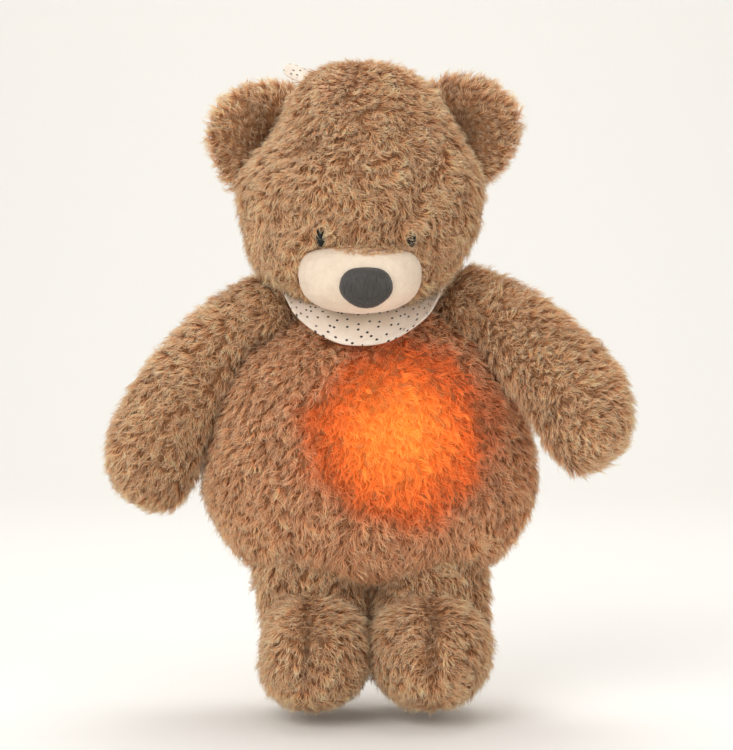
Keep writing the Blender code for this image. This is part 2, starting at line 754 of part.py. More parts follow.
def make_flap(fur, hook, loop):
    """The pocket's flap on its top seam, and the strips that hold its hem."""
    height = FLAP_TOP_Z - FLAP_BOTTOM_Z
    middle = (FLAP_TOP_Z + FLAP_BOTTOM_Z) / 2
    outline = rounded_outline(FLAP_WIDTH, height, FLAP_CORNER)
    back_y = FLAP_FRONT_Y + FLAP_THICKNESS
    flap = plate("pocket_flap", [outline], MODULE_CENTRE_X, middle, FLAP_FRONT_Y, back_y, fur)
    recess = strip_block("hook_recess_cut", FLAP_FRONT_Y - OVERRUN, OVERRUN + CLEARANCE, CLEARANCE)
    cut(flap, recess)
    strip_block("flap_hook_strip", FLAP_FRONT_Y - CLEARANCE / 2, 0, 0, hook)
    strip_block("flap_loop_strip", FLAP_FRONT_Y - STRIP_THICKNESS - 2 * CLEARANCE, 0, 0, loop)


def make_arms(fur):
    """Two arms that bow outwards and swell towards the paw, on ball-shaped roots in the shoulders."""
    length = ARM_LENGTH + ARM_ROOT_RADIUS
    places = (("arm_left", -1, ARM_SPREAD_LEFT, ARM_FORWARD_LEFT),
              ("arm_right", 1, ARM_SPREAD_RIGHT, ARM_FORWARD_RIGHT))
    for name, side, spread, forward in places:
        arm = soft_form(name, (ARM_WIDTH, ARM_DEPTH, length), ARM_SECTION_SHARES, material=fur)
        for vert in arm.data.vertices:
            down = 1 / 2 - vert.co.z / length
            vert.co.x += side * ARM_BOW * math.sin(math.pi * down)
            vert.co.z -= length / 2 - ARM_ROOT_RADIUS
        turn = Matrix.Rotation(-side * spread, 4, "Y") @ Matrix.Rotation(-forward, 4, "X")
        arm.matrix_world = Matrix.Translation(shoulder(side)) @ turn
        swept_cut(arm, shoulder(side), Vector((0, -side, 0)), ARM_RAISE)
        join(arm, ball(f"{name}_root", shoulder(side), ARM_ROOT_RADIUS))


def make_legs(fur):
    """Two legs with feet that point forward, on ball-shaped roots in the hips."""
    length = LEG_LENGTH + LEG_ROOT_RADIUS
    for name, foot_name, side in (("leg_left", "foot_left", -1), ("leg_right", "foot_right", 1)):
        leg = soft_form(name, (LEG_WIDTH, LEG_DEPTH, length), LEG_SECTION_SHARES, material=fur)
        leg_clearance = soft_form(
            f"{name}_clearance", grown((LEG_WIDTH, LEG_DEPTH, length)), LEG_SECTION_SHARES
        )
        for form in (leg, leg_clearance):
            for vert in form.data.vertices:
                vert.co.z -= length / 2 - LEG_ROOT_RADIUS
            form.location = hip(side)
        swept_cut(leg, hip(side), Vector((-1, 0, 0)), LEG_SWING)
        join(leg, ball(f"{name}_root", hip(side), LEG_ROOT_RADIUS))
        foot_size = (FOOT_WIDTH, FOOT_HEIGHT, FOOT_LENGTH)
        foot = soft_form(foot_name, foot_size, FOOT_SECTION_SHARES, material=fur)
        centre = Vector((hip(side).x, hip(side).y - FOOT_FORWARD, -FOOT_DROP))
        foot.matrix_world = Matrix.Translation(centre) @ Matrix.Rotation(math.pi / 2, 4, "X")
        cut(foot, leg_clearance)


def kerchief_point(around, down):
    """A point of the neckerchief, from its turn round the neck and its share from neck to hem."""
    front = max(0.0, math.cos(around))
    back = max(0.0, -math.cos(around))
    side_share = math.sin(around) ** 2
    neck_reach = NECK_RADIUS + CLEARANCE + KERCHIEF_THICKNESS / 2
    reach_y = KERCHIEF_FRONT_REACH if front else KERCHIEF_BACK_REACH
    end_drop = KERCHIEF_FRONT_DROP if front else KERCHIEF_BACK_DROP
    hem_z = -KERCHIEF_SIDE_DROP - (end_drop - KERCHIEF_SIDE_DROP) * (front + back)
    ahead = front ** KERCHIEF_SQUARE_SHARE - back ** KERCHIEF_SQUARE_SHARE
    hem = Vector((KERCHIEF_SIDE_REACH * math.sin(around), -reach_y * ahead, hem_z))
    neck = Vector((neck_reach * math.sin(around), -neck_reach * math.cos(around), -KERCHIEF_NECK_DROP))
    point = neck.lerp(hem, down)
    point.z += KERCHIEF_FOLD_HEIGHT * math.sin(KERCHIEF_FOLDS * around) * down * (1 - side_share)
    return point + Vector((NECK_CENTRE.x, NECK_CENTRE.y, 0))


def make_kerchief(cotton):
    """The neckerchief, a cloth ring that falls over the chest in front."""
    bm = bmesh.new()
    rows = []
    for row in range(KERCHIEF_STEPS_DOWN + 1):
        share = row / KERCHIEF_STEPS_DOWN
        turns = [math.tau * step / KERCHIEF_STEPS_ROUND for step in range(KERCHIEF_STEPS_ROUND)]
        rows.append([bm.verts.new(kerchief_point(turn, share)) for turn in turns])
    for upper, lower in zip(rows, rows[1:]):
        for step in range(KERCHIEF_STEPS_ROUND):
            after = (step + 1) % KERCHIEF_STEPS_ROUND
            bm.faces.new((upper[step], lower[step], lower[after], upper[after]))
    kerchief = mesh_object("neckerchief", bm, cotton)
    cloth = kerchief.modifiers.new("Cloth", "SOLIDIFY")
    cloth.thickness = KERCHIEF_THICKNESS
    cloth.offset = 0
    cloth.use_even_offset = True


def strap_route():
    """The strap's centre line as (place, side direction) pairs, from its sewn end to its free end."""
    half = STRAP_THICKNESS / 2
    front = RAIL_FRONT_Y - half
    corner = RAIL_CORNER + half
    head_y = HEAD_BACK_Y + CLEARANCE + half
    route = []
    across = Vector((1, 0, 0))
    for share in (0, 1 / 2, 1):
        z = -STRAP_SEWN_DROP + STRAP_SEWN_LENGTH * share
        route.append((Vector((STRAP_START_X, head_y, z)), across))
    for step in range(1, STRAP_BEND_STEPS + 1):
        share = step / STRAP_BEND_STEPS
        ease = share * share * (3 - 2 * share)
        z = -STRAP_SEWN_DROP + STRAP_SEWN_LENGTH + STRAP_BRIDGE_LENGTH * share
        route.append((Vector((STRAP_START_X, head_y + (front - head_y) * ease, z)), across))
    loop = []
    inner_y = RAIL_DEPTH / 2 - RAIL_CORNER
    corners = ((-inner_y, -RAIL_CORNER, math.pi), (inner_y, -RAIL_CORNER, math.pi / 2),
               (inner_y, RAIL_CORNER - RAIL_HEIGHT, 0), (-inner_y, RAIL_CORNER - RAIL_HEIGHT, -math.pi / 2))
    for y, z, first in corners:
        for step in range(STRAP_CORNER_STEPS + 1):
            angle = first - math.pi / 2 * step / STRAP_CORNER_STEPS
            loop.append(Vector((0, y + corner * math.cos(angle), z + corner * math.sin(angle))))
    lengths = [0.0]
    for before, after in zip(loop, loop[1:]):
        lengths.append(lengths[-1] + (after - before).length)
    for point, length in zip(loop, lengths):
        point.x = STRAP_START_X - STRAP_DRIFT * length / lengths[-1]
        route.append((point, across))
    for share in (1 / 3, 2 / 3, 1):
        z = -RAIL_HEIGHT + RAIL_CORNER + (RAIL_HEIGHT - RAIL_CORNER - STRAP_BEND_DROP) * share
        route.append((Vector((STRAP_TAIL_X, front, z)), across))
    for step in range(1, STRAP_BEND_STEPS + 1):
        angle = STRAP_BEND_ANGLE * step / STRAP_BEND_STEPS
        x = STRAP_TAIL_X - STRAP_BEND_RADIUS * (1 - math.cos(angle))
        z = -STRAP_BEND_DROP + STRAP_BEND_RADIUS * math.sin(angle)
        route.append((Vector((x, front, z)), Vector((math.cos(angle), 0, math.sin(angle)))))
    last, side = route[-1]
    ahead = Vector((-side.z, 0, side.x))
    route.append((last + ahead * STRAP_FREE_LENGTH, side))
    return route, ahead


def make_strap(cotton):
    """The hanging strap, one band round the rail with a rounded free end."""
    route, ahead = strap_route()
    half_width = STRAP_WIDTH / 2
    edges = [(point - side * half_width, point + side * half_width) for point, side in route]
    end, side = route[-1]
    for step in range(1, STRAP_END_STEPS):
        angle = math.pi / 2 * step / STRAP_END_STEPS
        forward = ahead * half_width * math.sin(angle)
        narrow = side * half_width * math.cos(angle)
        edges.append((end + forward - narrow, end + forward + narrow))
    bm = bmesh.new()
    pairs = [(bm.verts.new(left), bm.verts.new(right)) for left, right in edges]
    for (left, right), (next_left, next_right) in zip(pairs, pairs[1:]):
        bm.faces.new((left, right, next_right, next_left))
    tip = bm.verts.new(end + ahead * half_width)
    bm.faces.new((pairs[-1][0], pairs[-1][1], tip))
    strap = mesh_object("hanging_strap", bm, cotton)
    cloth = strap.modifiers.new("Cloth", "SOLIDIFY")
    cloth.thickness = STRAP_THICKNESS
    cloth.offset = 0
    cloth.use_even_offset = True


def make_strap_pads(hook, loop):
    """The hook pad on the strap's tail and the loop pad on the back of the head."""
    pads = (("strap_hook_pad", HOOK_PAD_LENGTH, HOOK_PAD_Y - HOOK_PAD_THICKNESS, HOOK_PAD_Y, hook),
            ("strap_loop_pad", LOOP_PAD_LENGTH, LOOP_PAD_Y - LOOP_PAD_THICKNESS, LOOP_PAD_Y, loop))
    for name, length, start_y, end_y, material in pads:
        outline = rounded_outline(PAD_WIDTH, length, PAD_CORNER, 3)
        plate(name, [outline], STRAP_TAIL_X, -PAD_DROP, start_y, end_y, material)


def boss_places():
    """Places of the casing screws in the module's plane."""
    inner_x = MODULE_WIDTH / 2
    inner_z = MODULE_HEIGHT / 2
    return [(MODULE_CENTRE_X + inner_x * across, MODULE_CENTRE_Z + inner_z * up)
            for across, up in BOSS_PLACE_SHARES]


def shell_body(name, start_y, end_y, material):
    """The solid outline of a shell half before it is hollowed."""
    outline = rounded_outline(MODULE_WIDTH, MODULE_HEIGHT, MODULE_CORNER)
    return plate(name, [outline], MODULE_CENTRE_X, MODULE_CENTRE_Z, start_y, end_y, material)


def make_front_shell(plastic):
    """The front half of the casing with the dome's window and the board's bosses."""
    shell = shell_body("module_front_shell", MODULE_FRONT_Y, PARTING_Y - CLEARANCE / 2, plastic)
    bevel = shell.modifiers.new("Front edge", "BEVEL")
    bevel.width = SHELL_EDGE
    bevel.segments = 3
    bevel.limit_method = "ANGLE"
    bevel.angle_limit = math.radians(60)
    inner_y = MODULE_FRONT_Y + SHELL_WALL
    cut(shell, module_prism("front_hollow_cut", -SHELL_WALL, inner_y, PARTING_Y + SHELL_EDGE + OVERRUN))
    window = rod(
        "window_cut", DOME_RADIUS + CLEARANCE, MODULE_FRONT_Y - OVERRUN, inner_y + OVERRUN,
        MODULE_CENTRE_X, MODULE_CENTRE_Z, DOME_STEPS,
    )
    cut(shell, window)
    for index, (x, z) in enumerate(boss_places()):
        top = BOARD_FRONT_Y - CLEARANCE
        boss = rod(f"front_boss_{index}", BOSS_RADIUS, MODULE_FRONT_Y + SHELL_WALL / 2, top, x, z, SCREW_STEPS)
        pilot = rod(
            f"front_pilot_cut_{index}", SCREW_SHANK_RADIUS + CASE_SCREW_ROOM, top - BOSS_PILOT_DEPTH,
            top + OVERRUN, x, z, SCREW_STEPS,
        )
        join(shell, boss)
        cut(shell, pilot)


def make_dome(material):
    """The translucent light dome with the flange that holds it behind the window."""
    inner_flange_y = MODULE_FRONT_Y + SHELL_WALL + CLEARANCE
    base = MODULE_FRONT_Y - inner_flange_y
    outer, inner = [], []
    for step in range(DOME_PROFILE_STEPS + 1):
        angle = math.pi / 2 * step / DOME_PROFILE_STEPS
        outer.append((DOME_RADIUS * math.sin(angle), -base + DOME_RISE * math.cos(angle)))
        inner_radius = (DOME_RADIUS - DOME_WALL) * math.sin(angle)
        inner.append((inner_radius, -base + (DOME_RISE - DOME_WALL) * math.cos(angle)))
    flange = DOME_RADIUS + DOME_FLANGE
    rim = [(DOME_RADIUS, 0), (flange, 0), (flange, -DOME_WALL), (DOME_RADIUS - DOME_WALL, -DOME_WALL)]
    profile = outer + rim + inner[::-1]
    matrix = Matrix.Translation((MODULE_CENTRE_X, inner_flange_y, MODULE_CENTRE_Z))
    turned("light_dome", profile, DOME_STEPS, matrix @ Matrix.Rotation(math.pi / 2, 4, "X"), material)


def make_board(board, white, metal):
    """The circuit board with its light emitters and microphone."""
    outline = rounded_outline(BOARD_WIDTH, BOARD_HEIGHT, BOARD_CORNER)
    circuit = plate(
        "circuit_board", [outline], MODULE_CENTRE_X, MODULE_CENTRE_Z, BOARD_FRONT_Y, BOARD_BACK_Y, board
    )
    for index, (x, z) in enumerate(boss_places()):
        cut(circuit, rod(
            f"board_hole_cut_{index}", SCREW_SHANK_RADIUS + CASE_SCREW_ROOM + CLEARANCE,
            BOARD_FRONT_Y - OVERRUN, BOARD_BACK_Y + OVERRUN, x, z, SCREW_STEPS,
        ))
    for index in range(EMITTER_COUNT):
        angle = math.pi / 2 + math.tau * index / EMITTER_COUNT
        x = MODULE_CENTRE_X + EMITTER_RING_RADIUS * math.cos(angle)
        z = MODULE_CENTRE_Z + EMITTER_RING_RADIUS * math.sin(angle)
        front = BOARD_FRONT_Y - CLEARANCE - EMITTER_HEIGHT
        rod(f"light_emitter_{index + 1}", EMITTER_RADIUS, front, front + EMITTER_HEIGHT, x, z,
            SCREW_STEPS, white)
    start = BOARD_BACK_Y + CLEARANCE
    rod("microphone", MICROPHONE_RADIUS, start, start + MICROPHONE_HEIGHT,
        MODULE_CENTRE_X + MICROPHONE_SIDE, MODULE_CENTRE_Z + MICROPHONE_RISE, SCREW_STEPS, metal)


def make_speaker(metal, paper):
    """The speaker's basket with its magnet, and the cone that faces the grille."""
    x = MODULE_CENTRE_X + SPEAKER_SIDE
    z = MODULE_CENTRE_Z + SPEAKER_RISE
    back = MODULE_BACK_Y - SHELL_WALL - CLEARANCE
    start = back - SPEAKER_DEPTH
    waist = SPEAKER_RADIUS - SPEAKER_FLANGE * 2
    cone_seat = SPEAKER_DEPTH - CONE_DEPTH - CONE_WALL
    profile = [
        (0, cone_seat),
        (CONE_CAP_RADIUS, cone_seat),
        (waist, SPEAKER_DEPTH),
        (SPEAKER_RADIUS, SPEAKER_DEPTH),
        (SPEAKER_RADIUS, SPEAKER_DEPTH - SPEAKER_FLANGE),
        (SPEAKER_RADIUS - SPEAKER_FLANGE, SPEAKER_DEPTH - SPEAKER_FLANGE),
        (SPEAKER_MAGNET_RADIUS, SPEAKER_MAGNET_DEPTH),
        (SPEAKER_MAGNET_RADIUS, 0),
        (0, 0),
    ]
    turned("speaker_basket", profile, SPEAKER_STEPS, facing_back(x, start, z), metal)
    cone = [
        (0, cone_seat + CLEARANCE + CONE_WALL),
        (CONE_CAP_RADIUS, cone_seat + CLEARANCE + CONE_WALL),
        (waist - CLEARANCE, SPEAKER_DEPTH),
        (waist - CLEARANCE - CONE_WALL, SPEAKER_DEPTH - CONE_WALL / 2),
        (CONE_CAP_RADIUS, cone_seat + CLEARANCE),
        (0, cone_seat + CLEARANCE),
    ]
    turned("speaker_cone", cone, SPEAKER_STEPS, facing_back(x, start, z), paper)


def make_rear_shell(plastic):
    """The rear half of the casing: battery bay, speaker grille, button holes, slot and bosses."""
    start = PARTING_Y + CLEARANCE / 2
    shell = shell_body("module_rear_shell", start, MODULE_BACK_Y, plastic)
    cut(shell, module_prism("rear_hollow_cut", -SHELL_WALL, start - OVERRUN, MODULE_BACK_Y - SHELL_WALL))
    outer = rounded_outline(BAY_WIDTH + 2 * BAY_WALL, BAY_HEIGHT + 2 * BAY_WALL, BAY_WALL, 2)
    bay_front = BAY_FLOOR_Y - BAY_WALL
    tub = plate("bay_tub", [outer], MODULE_CENTRE_X, BAY_Z, bay_front, MODULE_BACK_Y - SHELL_WALL / 2)
    join(shell, tub)
    ledge_front = DOOR_FRONT_Y - CLEARANCE - BAY_WALL
    ledge_back = MODULE_BACK_Y - SHELL_WALL / 2
    join(shell, *door_solids("door_ledge", CLEARANCE + BAY_WALL / 2, ledge_front, ledge_back))
    join(shell, rod("door_screw_boss", BOSS_RADIUS, DOOR_FRONT_Y - DOOR_SCREW_LENGTH - BAY_WALL, ledge_back,
                    MODULE_CENTRE_X, DOOR_SCREW_Z, SCREW_STEPS))
    for index, (x, z) in enumerate(boss_places()):
        bottom = BOARD_BACK_Y + CLEARANCE
        join(shell, rod(f"rear_boss_{index}", BOSS_RADIUS, bottom, MODULE_BACK_Y - SHELL_WALL / 2, x, z,
                        SCREW_STEPS))
        cut(shell, rod(f"rear_screw_cut_{index}", SCREW_SHANK_RADIUS + CASE_SCREW_ROOM,
                       bottom - OVERRUN, MODULE_BACK_Y + OVERRUN, x, z, SCREW_STEPS))
        cut(shell, rod(f"counterbore_cut_{index}", SCREW_HEAD_RADIUS + CLEARANCE,
                       MODULE_BACK_Y - COUNTERBORE, MODULE_BACK_Y + OVERRUN, x, z, SCREW_STEPS))
    bay = rounded_outline(BAY_WIDTH, BAY_HEIGHT, BAY_WALL / 2, 2)
    bay_mouth = MODULE_BACK_Y + OVERRUN
    cut(shell, plate("bay_cut", [bay], MODULE_CENTRE_X, BAY_Z, BAY_FLOOR_Y, bay_mouth))
    for cutter in door_solids("door_recess_cut", CLEARANCE, DOOR_FRONT_Y - CLEARANCE, MODULE_BACK_Y + OVERRUN):
        cut(shell, cutter)
    cut(shell, rod("door_screw_cut", SCREW_SHANK_RADIUS + DOOR_SCREW_ROOM,
                   MODULE_BACK_Y - DOOR_THICKNESS - DOOR_SCREW_LENGTH - OVERRUN, MODULE_BACK_Y,
                   MODULE_CENTRE_X, DOOR_SCREW_Z, SCREW_STEPS))
    cut_grille(shell)
    for index in range(len(BUTTON_NAMES)):
        x, z = button_place(index)
        cut(shell, rod(f"button_hole_cut_{index}", BUTTON_RADIUS + CLEARANCE,
                       MODULE_BACK_Y - SHELL_WALL - OVERRUN, MODULE_BACK_Y + OVERRUN, x, z, BUTTON_STEPS))
    slot_half = (SWITCH_KNOB_WIDTH + SWITCH_TRAVEL) / 2 + CLEARANCE
    slot_x = MODULE_CENTRE_X + SWITCH_SIDE
    slot_z = MODULE_CENTRE_Z + SWITCH_RISE
    cut(shell, block(
        "switch_slot_cut",
        (slot_x - slot_half, MODULE_BACK_Y - SHELL_WALL - OVERRUN, slot_z - SWITCH_KNOB_HEIGHT / 2 - CLEARANCE),
        (slot_x + slot_half, MODULE_BACK_Y + OVERRUN, slot_z + SWITCH_KNOB_HEIGHT / 2 + CLEARANCE),
    ))
    cut(shell, rod("microphone_hole_cut", MICROPHONE_HOLE_RADIUS, MODULE_BACK_Y - SHELL_WALL - OVERRUN,
                   MODULE_BACK_Y + OVERRUN, MODULE_CENTRE_X + MICROPHONE_SIDE,
                   MODULE_CENTRE_Z + MICROPHONE_RISE, SCREW_STEPS))


def cut_grille(shell):
    """Cut the speaker's grille: round-ended slots that fill a circle."""
    count = int(GRILLE_RADIUS / GRILLE_PITCH)
    for row in range(-count, count + 1):
        rise = row * GRILLE_PITCH
        length = 2 * math.sqrt(GRILLE_RADIUS ** 2 - rise ** 2)
        outline = rounded_outline(length, GRILLE_SLOT, GRILLE_SLOT / 2 - WELD_DISTANCE, 2)
        cut(shell, plate(
            f"grille_cut_{row + count}", [outline], MODULE_CENTRE_X + SPEAKER_SIDE,
            MODULE_CENTRE_Z + SPEAKER_RISE + rise, MODULE_BACK_Y - SHELL_WALL - CLEARANCE / 2,
            MODULE_BACK_Y + OVERRUN,
        ))


def door_solids(name, grow, start_y, end_y):
    """The battery door's outline: a rounded plate and the tongue that its screw goes through."""
    outline = rounded_outline(DOOR_WIDTH + 2 * grow, DOOR_HEIGHT + 2 * grow, DOOR_CORNER + grow, 4)
    yield plate(name, [outline], MODULE_CENTRE_X, BAY_Z, start_y, end_y)
    yield rod(f"{name}_tongue", DOOR_TONGUE_RADIUS + grow, start_y, end_y, MODULE_CENTRE_X, DOOR_SCREW_Z,
              BUTTON_STEPS)


def make_door(plastic, metal):
    """The battery door with its grip ribs, and the captive screw in its tongue."""
    outline = rounded_outline(DOOR_WIDTH, DOOR_HEIGHT, DOOR_CORNER, 4)
    door = plate("battery_door", [outline], MODULE_CENTRE_X, BAY_Z, DOOR_FRONT_Y, MODULE_BACK_Y, plastic)
    join(door, rod("door_tongue", DOOR_TONGUE_RADIUS, DOOR_FRONT_Y, MODULE_BACK_Y, MODULE_CENTRE_X,
                   DOOR_SCREW_Z, BUTTON_STEPS))
    seat = MODULE_BACK_Y - SCREW_HEAD
    cut(door, rod("door_counterbore_cut", SCREW_HEAD_RADIUS + CLEARANCE, seat - CLEARANCE,
                  MODULE_BACK_Y + OVERRUN, MODULE_CENTRE_X, DOOR_SCREW_Z, SCREW_STEPS))
    cut(door, rod("door_hole_cut", SCREW_SHANK_RADIUS + CLEARANCE, DOOR_FRONT_Y - OVERRUN,
                  MODULE_BACK_Y - SCREW_HEAD / 2, MODULE_CENTRE_X, DOOR_SCREW_Z, SCREW_STEPS))
    for index in range(DOOR_RIB_COUNT):
        rise = (index - (DOOR_RIB_COUNT - 1) / 2) * DOOR_RIB_PITCH
        bar = rounded_outline(DOOR_RIB_LENGTH, DOOR_RIB, DOOR_RIB / 2 - WELD_DISTANCE, 2)
        join(door, plate(f"door_rib_{index}", [bar], MODULE_CENTRE_X, BAY_Z + rise,
                         MODULE_BACK_Y - DOOR_RIB, MODULE_BACK_Y + DOOR_RIB))
    make_screw("door_screw", MODULE_CENTRE_X, DOOR_SCREW_Z, MODULE_BACK_Y,
               DOOR_THICKNESS + DOOR_SCREW_LENGTH, metal)


def make_screw(name, x, z, head_y, length, metal):
    """A slotted screw whose head faces +Y."""
    profile = [
        (0, 0),
        (SCREW_HEAD_RADIUS, 0),
        (SCREW_HEAD_RADIUS, -SCREW_HEAD),
        (SCREW_SHANK_RADIUS, -SCREW_HEAD),
        (SCREW_SHANK_RADIUS, -length),
        (0, -length),
    ]
    screw = turned(name, profile, SCREW_STEPS, facing_back(x, head_y, z), metal)
    cut(screw, block(
        f"{name}_slot_cut",
        (x - SCREW_HEAD_RADIUS - OVERRUN, head_y - SCREW_SLOT, z - SCREW_SLOT / 2),
        (x + SCREW_HEAD_RADIUS + OVERRUN, head_y + OVERRUN, z + SCREW_SLOT / 2),
    ))


def make_case_screws(metal):
    """The casing screws, sunk in their counterbores."""
    head_y = MODULE_BACK_Y - COUNTERBORE + CLEARANCE + SCREW_HEAD
    length = head_y - (BOARD_FRONT_Y - CLEARANCE - BOSS_PILOT_DEPTH) - CLEARANCE
    for index, (x, z) in enumerate(boss_places()):
        make_screw(f"casing_screw_{index + 1}", x, z, head_y, length, metal)


def button_place(index):
    """Centre of a button in the module's plane."""
    x = MODULE_CENTRE_X + BUTTON_FIRST_SIDE + BUTTON_PITCH * index
    return x, MODULE_CENTRE_Z + BUTTON_RISE


def make_buttons(rubbery):
    """Round buttons, each with a flange behind the shell and a dished face."""
    flange_back = MODULE_BACK_Y - SHELL_WALL - CLEARANCE
    face = MODULE_BACK_Y + BUTTON_PROUD
    for index, name in enumerate(BUTTON_NAMES):
        x, z = button_place(index)
        height = face - (flange_back - BUTTON_FLANGE)
        profile = [
            (0, height - BUTTON_DISH),
            (BUTTON_RADIUS / 2, height - BUTTON_DISH / 2),
            (BUTTON_RADIUS - BUTTON_DISH, height),
            (BUTTON_RADIUS, height - BUTTON_DISH),
            (BUTTON_RADIUS, BUTTON_FLANGE),
            (BUTTON_FLANGE_RADIUS, BUTTON_FLANGE),
            (BUTTON_FLANGE_RADIUS, 0),
            (0, 0),
        ]
        turned(name, profile, BUTTON_STEPS, facing_back(x, flange_back - BUTTON_FLANGE, z), rubbery)


def make_switch(plastic):
    """The power switch's knob on its sliding plate, at the off end of its slot."""
    x = MODULE_CENTRE_X + SWITCH_SIDE - SWITCH_TRAVEL / 2
    z = MODULE_CENTRE_Z + SWITCH_RISE
    plate_back = MODULE_BACK_Y - SHELL_WALL - CLEARANCE
    plate_half = SWITCH_KNOB_WIDTH / 2 + SWITCH_TRAVEL + CLEARANCE
    knob = block(
        "power_switch",
        (x - SWITCH_KNOB_WIDTH / 2, plate_back - SWITCH_PLATE_THICKNESS / 2, z - SWITCH_KNOB_HEIGHT / 2),
        (x + SWITCH_KNOB_WIDTH / 2, MODULE_BACK_Y + SWITCH_PROUD, z + SWITCH_KNOB_HEIGHT / 2),
        plastic,
    )
    join(knob, block(
        "switch_plate",
        (x - plate_half, plate_back - SWITCH_PLATE_THICKNESS, z - SWITCH_PLATE_HEIGHT / 2),
        (x + plate_half, plate_back, z + SWITCH_PLATE_HEIGHT / 2),
    ))
    for offset in (-SWITCH_KNOB_WIDTH / 4, SWITCH_KNOB_WIDTH / 4):
        cut(knob, block(
            f"switch_grip_cut_{offset > 0}",
            (x + offset - SWITCH_GRIP / 2, MODULE_BACK_Y + SWITCH_PROUD - SWITCH_GRIP, z - SWITCH_KNOB_HEIGHT),
            (x + offset + SWITCH_GRIP / 2, MODULE_BACK_Y + SWITCH_PROUD + OVERRUN, z + SWITCH_KNOB_HEIGHT),
        ))


def cell_rise(index):
    """Height of a cell's axis."""
    return BAY_Z + (index - (CELL_COUNT - 1) / 2) * CELL_PITCH


def make_cells(jacket, metal):
    """Three cells in alternate directions, with plate and spring contacts at their ends."""
    half = CELL_LENGTH / 2
    profile = [
        (0, half + CELL_NUB),
        (CELL_NUB_RADIUS, half + CELL_NUB),
        (CELL_NUB_RADIUS, half),
        (CELL_RADIUS - CELL_CHAMFER, half),
        (CELL_RADIUS, half - CELL_CHAMFER),
        (CELL_RADIUS, -half + CELL_CHAMFER),
        (CELL_RADIUS - CELL_CHAMFER, -half),
        (0, -half),
    ]
    for index in range(CELL_COUNT):
        way = 1 if index % 2 == 0 else -1
        z = cell_rise(index)
        centre_x = MODULE_CENTRE_X + way * (BAY_WIDTH / 2 - CONTACT_THICKNESS - 2 * CLEARANCE - CELL_NUB - half)
        matrix = Matrix.Translation((centre_x, CELL_Y, z)) @ Matrix.Rotation(way * math.pi / 2, 4, "Y")
        turned(f"cell_{index + 1}", profile, CELL_STEPS, matrix, jacket)
        for end, kind in ((way, "plate"), (-way, "spring")):
            wall = MODULE_CENTRE_X + end * (BAY_WIDTH / 2 - CLEARANCE)
            inner = wall - end * CONTACT_THICKNESS
            block(
                f"{kind}_contact_{index + 1}",
                (min(wall, inner), CELL_Y - CONTACT_DEPTH / 2, z - CONTACT_HEIGHT / 2),
                (max(wall, inner), CELL_Y + CONTACT_DEPTH / 2, z + CONTACT_HEIGHT / 2),
                metal,
            )
        spring_start = MODULE_CENTRE_X - way * (BAY_WIDTH / 2 - CONTACT_THICKNESS - 2 * CLEARANCE)
        cell_end = centre_x - way * half
        make_spring(f"contact_spring_{index + 1}", spring_start, cell_end, z, metal)


def make_spring(name, start_x, end_x, z, metal):
    """A conical contact spring, wide on its plate and narrow at the cell."""
    way = 1 if end_x > start_x else -1
    first = start_x + way * SPRING_WIRE
    last = end_x - way * (SPRING_WIRE + CLEARANCE)
    curve = bpy.data.curves.new(name, "CURVE")
    curve.dimensions = "3D"
    curve.bevel_depth = SPRING_WIRE
    curve.bevel_resolution = 1
    curve.use_fill_caps = True
    count = SPRING_TURNS * SPRING_POINTS_A_TURN + 1
    spline = curve.splines.new("POLY")
    spline.points.add(count - 1)
    for index, point in enumerate(spline.points):
        share = index / (count - 1)
        angle = math.tau * SPRING_TURNS * share
        radius = SPRING_WIDE_RADIUS + (SPRING_NARROW_RADIUS - SPRING_WIDE_RADIUS) * share
        point.co = (
            first + (last - first) * share,
            CELL_Y + radius * math.cos(angle),
            z + radius * math.sin(angle),
            1,
        )
    place(bpy.data.objects.new(name, curve), metal)


def build():
    """Build the whole toy."""
    clear_scene()
    make_collection(COLLECTION_NAME)
    make_collection(CUTTER_COLLECTION_NAME)
    fur = make_material("tan_plush", "A0744F", 0.95)
    cotton = make_material("white_cotton", "D9D2C8", 0.9)
    velour = make_material("cream_velour", "D6CBB6", 0.85)
    thread = make_material("charcoal_thread", "3E3E42", 0.7)
    hook = make_material("hook_tape", "E4E0D8", 0.7)
    loop = make_material("loop_tape", "DAD4CA", 0.95)
    casing = make_material("white_casing", "E9E7E2", 0.4)
    diffuser = make_material("warm_diffuser", "FFD9A0", 0.5)
    board = make_material("circuit_green", "2F6B45", 0.5)
    metal = make_material("nickel", "BFC0C2", 0.3, 1.0)
    paper = make_material("speaker_paper", "2C2C2E", 0.8)
    rubbery = make_material("button_grey", "9FA3A6", 0.6)
    jacket = make_material("cell_jacket", "4A4C50", 0.4)

    make_strap(cotton)
    make_strap_pads(hook, loop)
    make_head(fur)
    head_clearance = head_cutter()
    make_ears(fur, head_clearance)
    make_face(velour, thread, head_clearance)

    make_torso(fur)
    make_arms(fur)
    make_legs(fur)
    make_kerchief(cotton)
    make_liner(cotton)
    make_flap(fur, hook, loop)

    make_front_shell(casing)
    make_dome(diffuser)
    make_board(board, diffuser, metal)
    make_speaker(metal, paper)
    make_rear_shell(casing)
    make_case_screws(metal)
    make_buttons(rubbery)
    make_switch(rubbery)
    make_cells(jacket, metal)
    make_door(casing, metal)


build()
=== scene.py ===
"""Looks of a plush bear night light: pile, cloth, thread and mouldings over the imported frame.

Every piece is in metres, in the frame's own axes: +Z is up and the bear faces -Y. Pile is real
geometry: each fibre is a closed, tapered, three-sided spike that grows from a smooth skin.
"""

from __future__ import annotations

import json
import logging
import math
from collections.abc import Callable, Sequence
from dataclasses import dataclass, field
from enum import Enum

import bmesh
import bpy
import numpy as np
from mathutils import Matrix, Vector
from mathutils.bvhtree import BVHTree
from mathutils.kdtree import KDTree


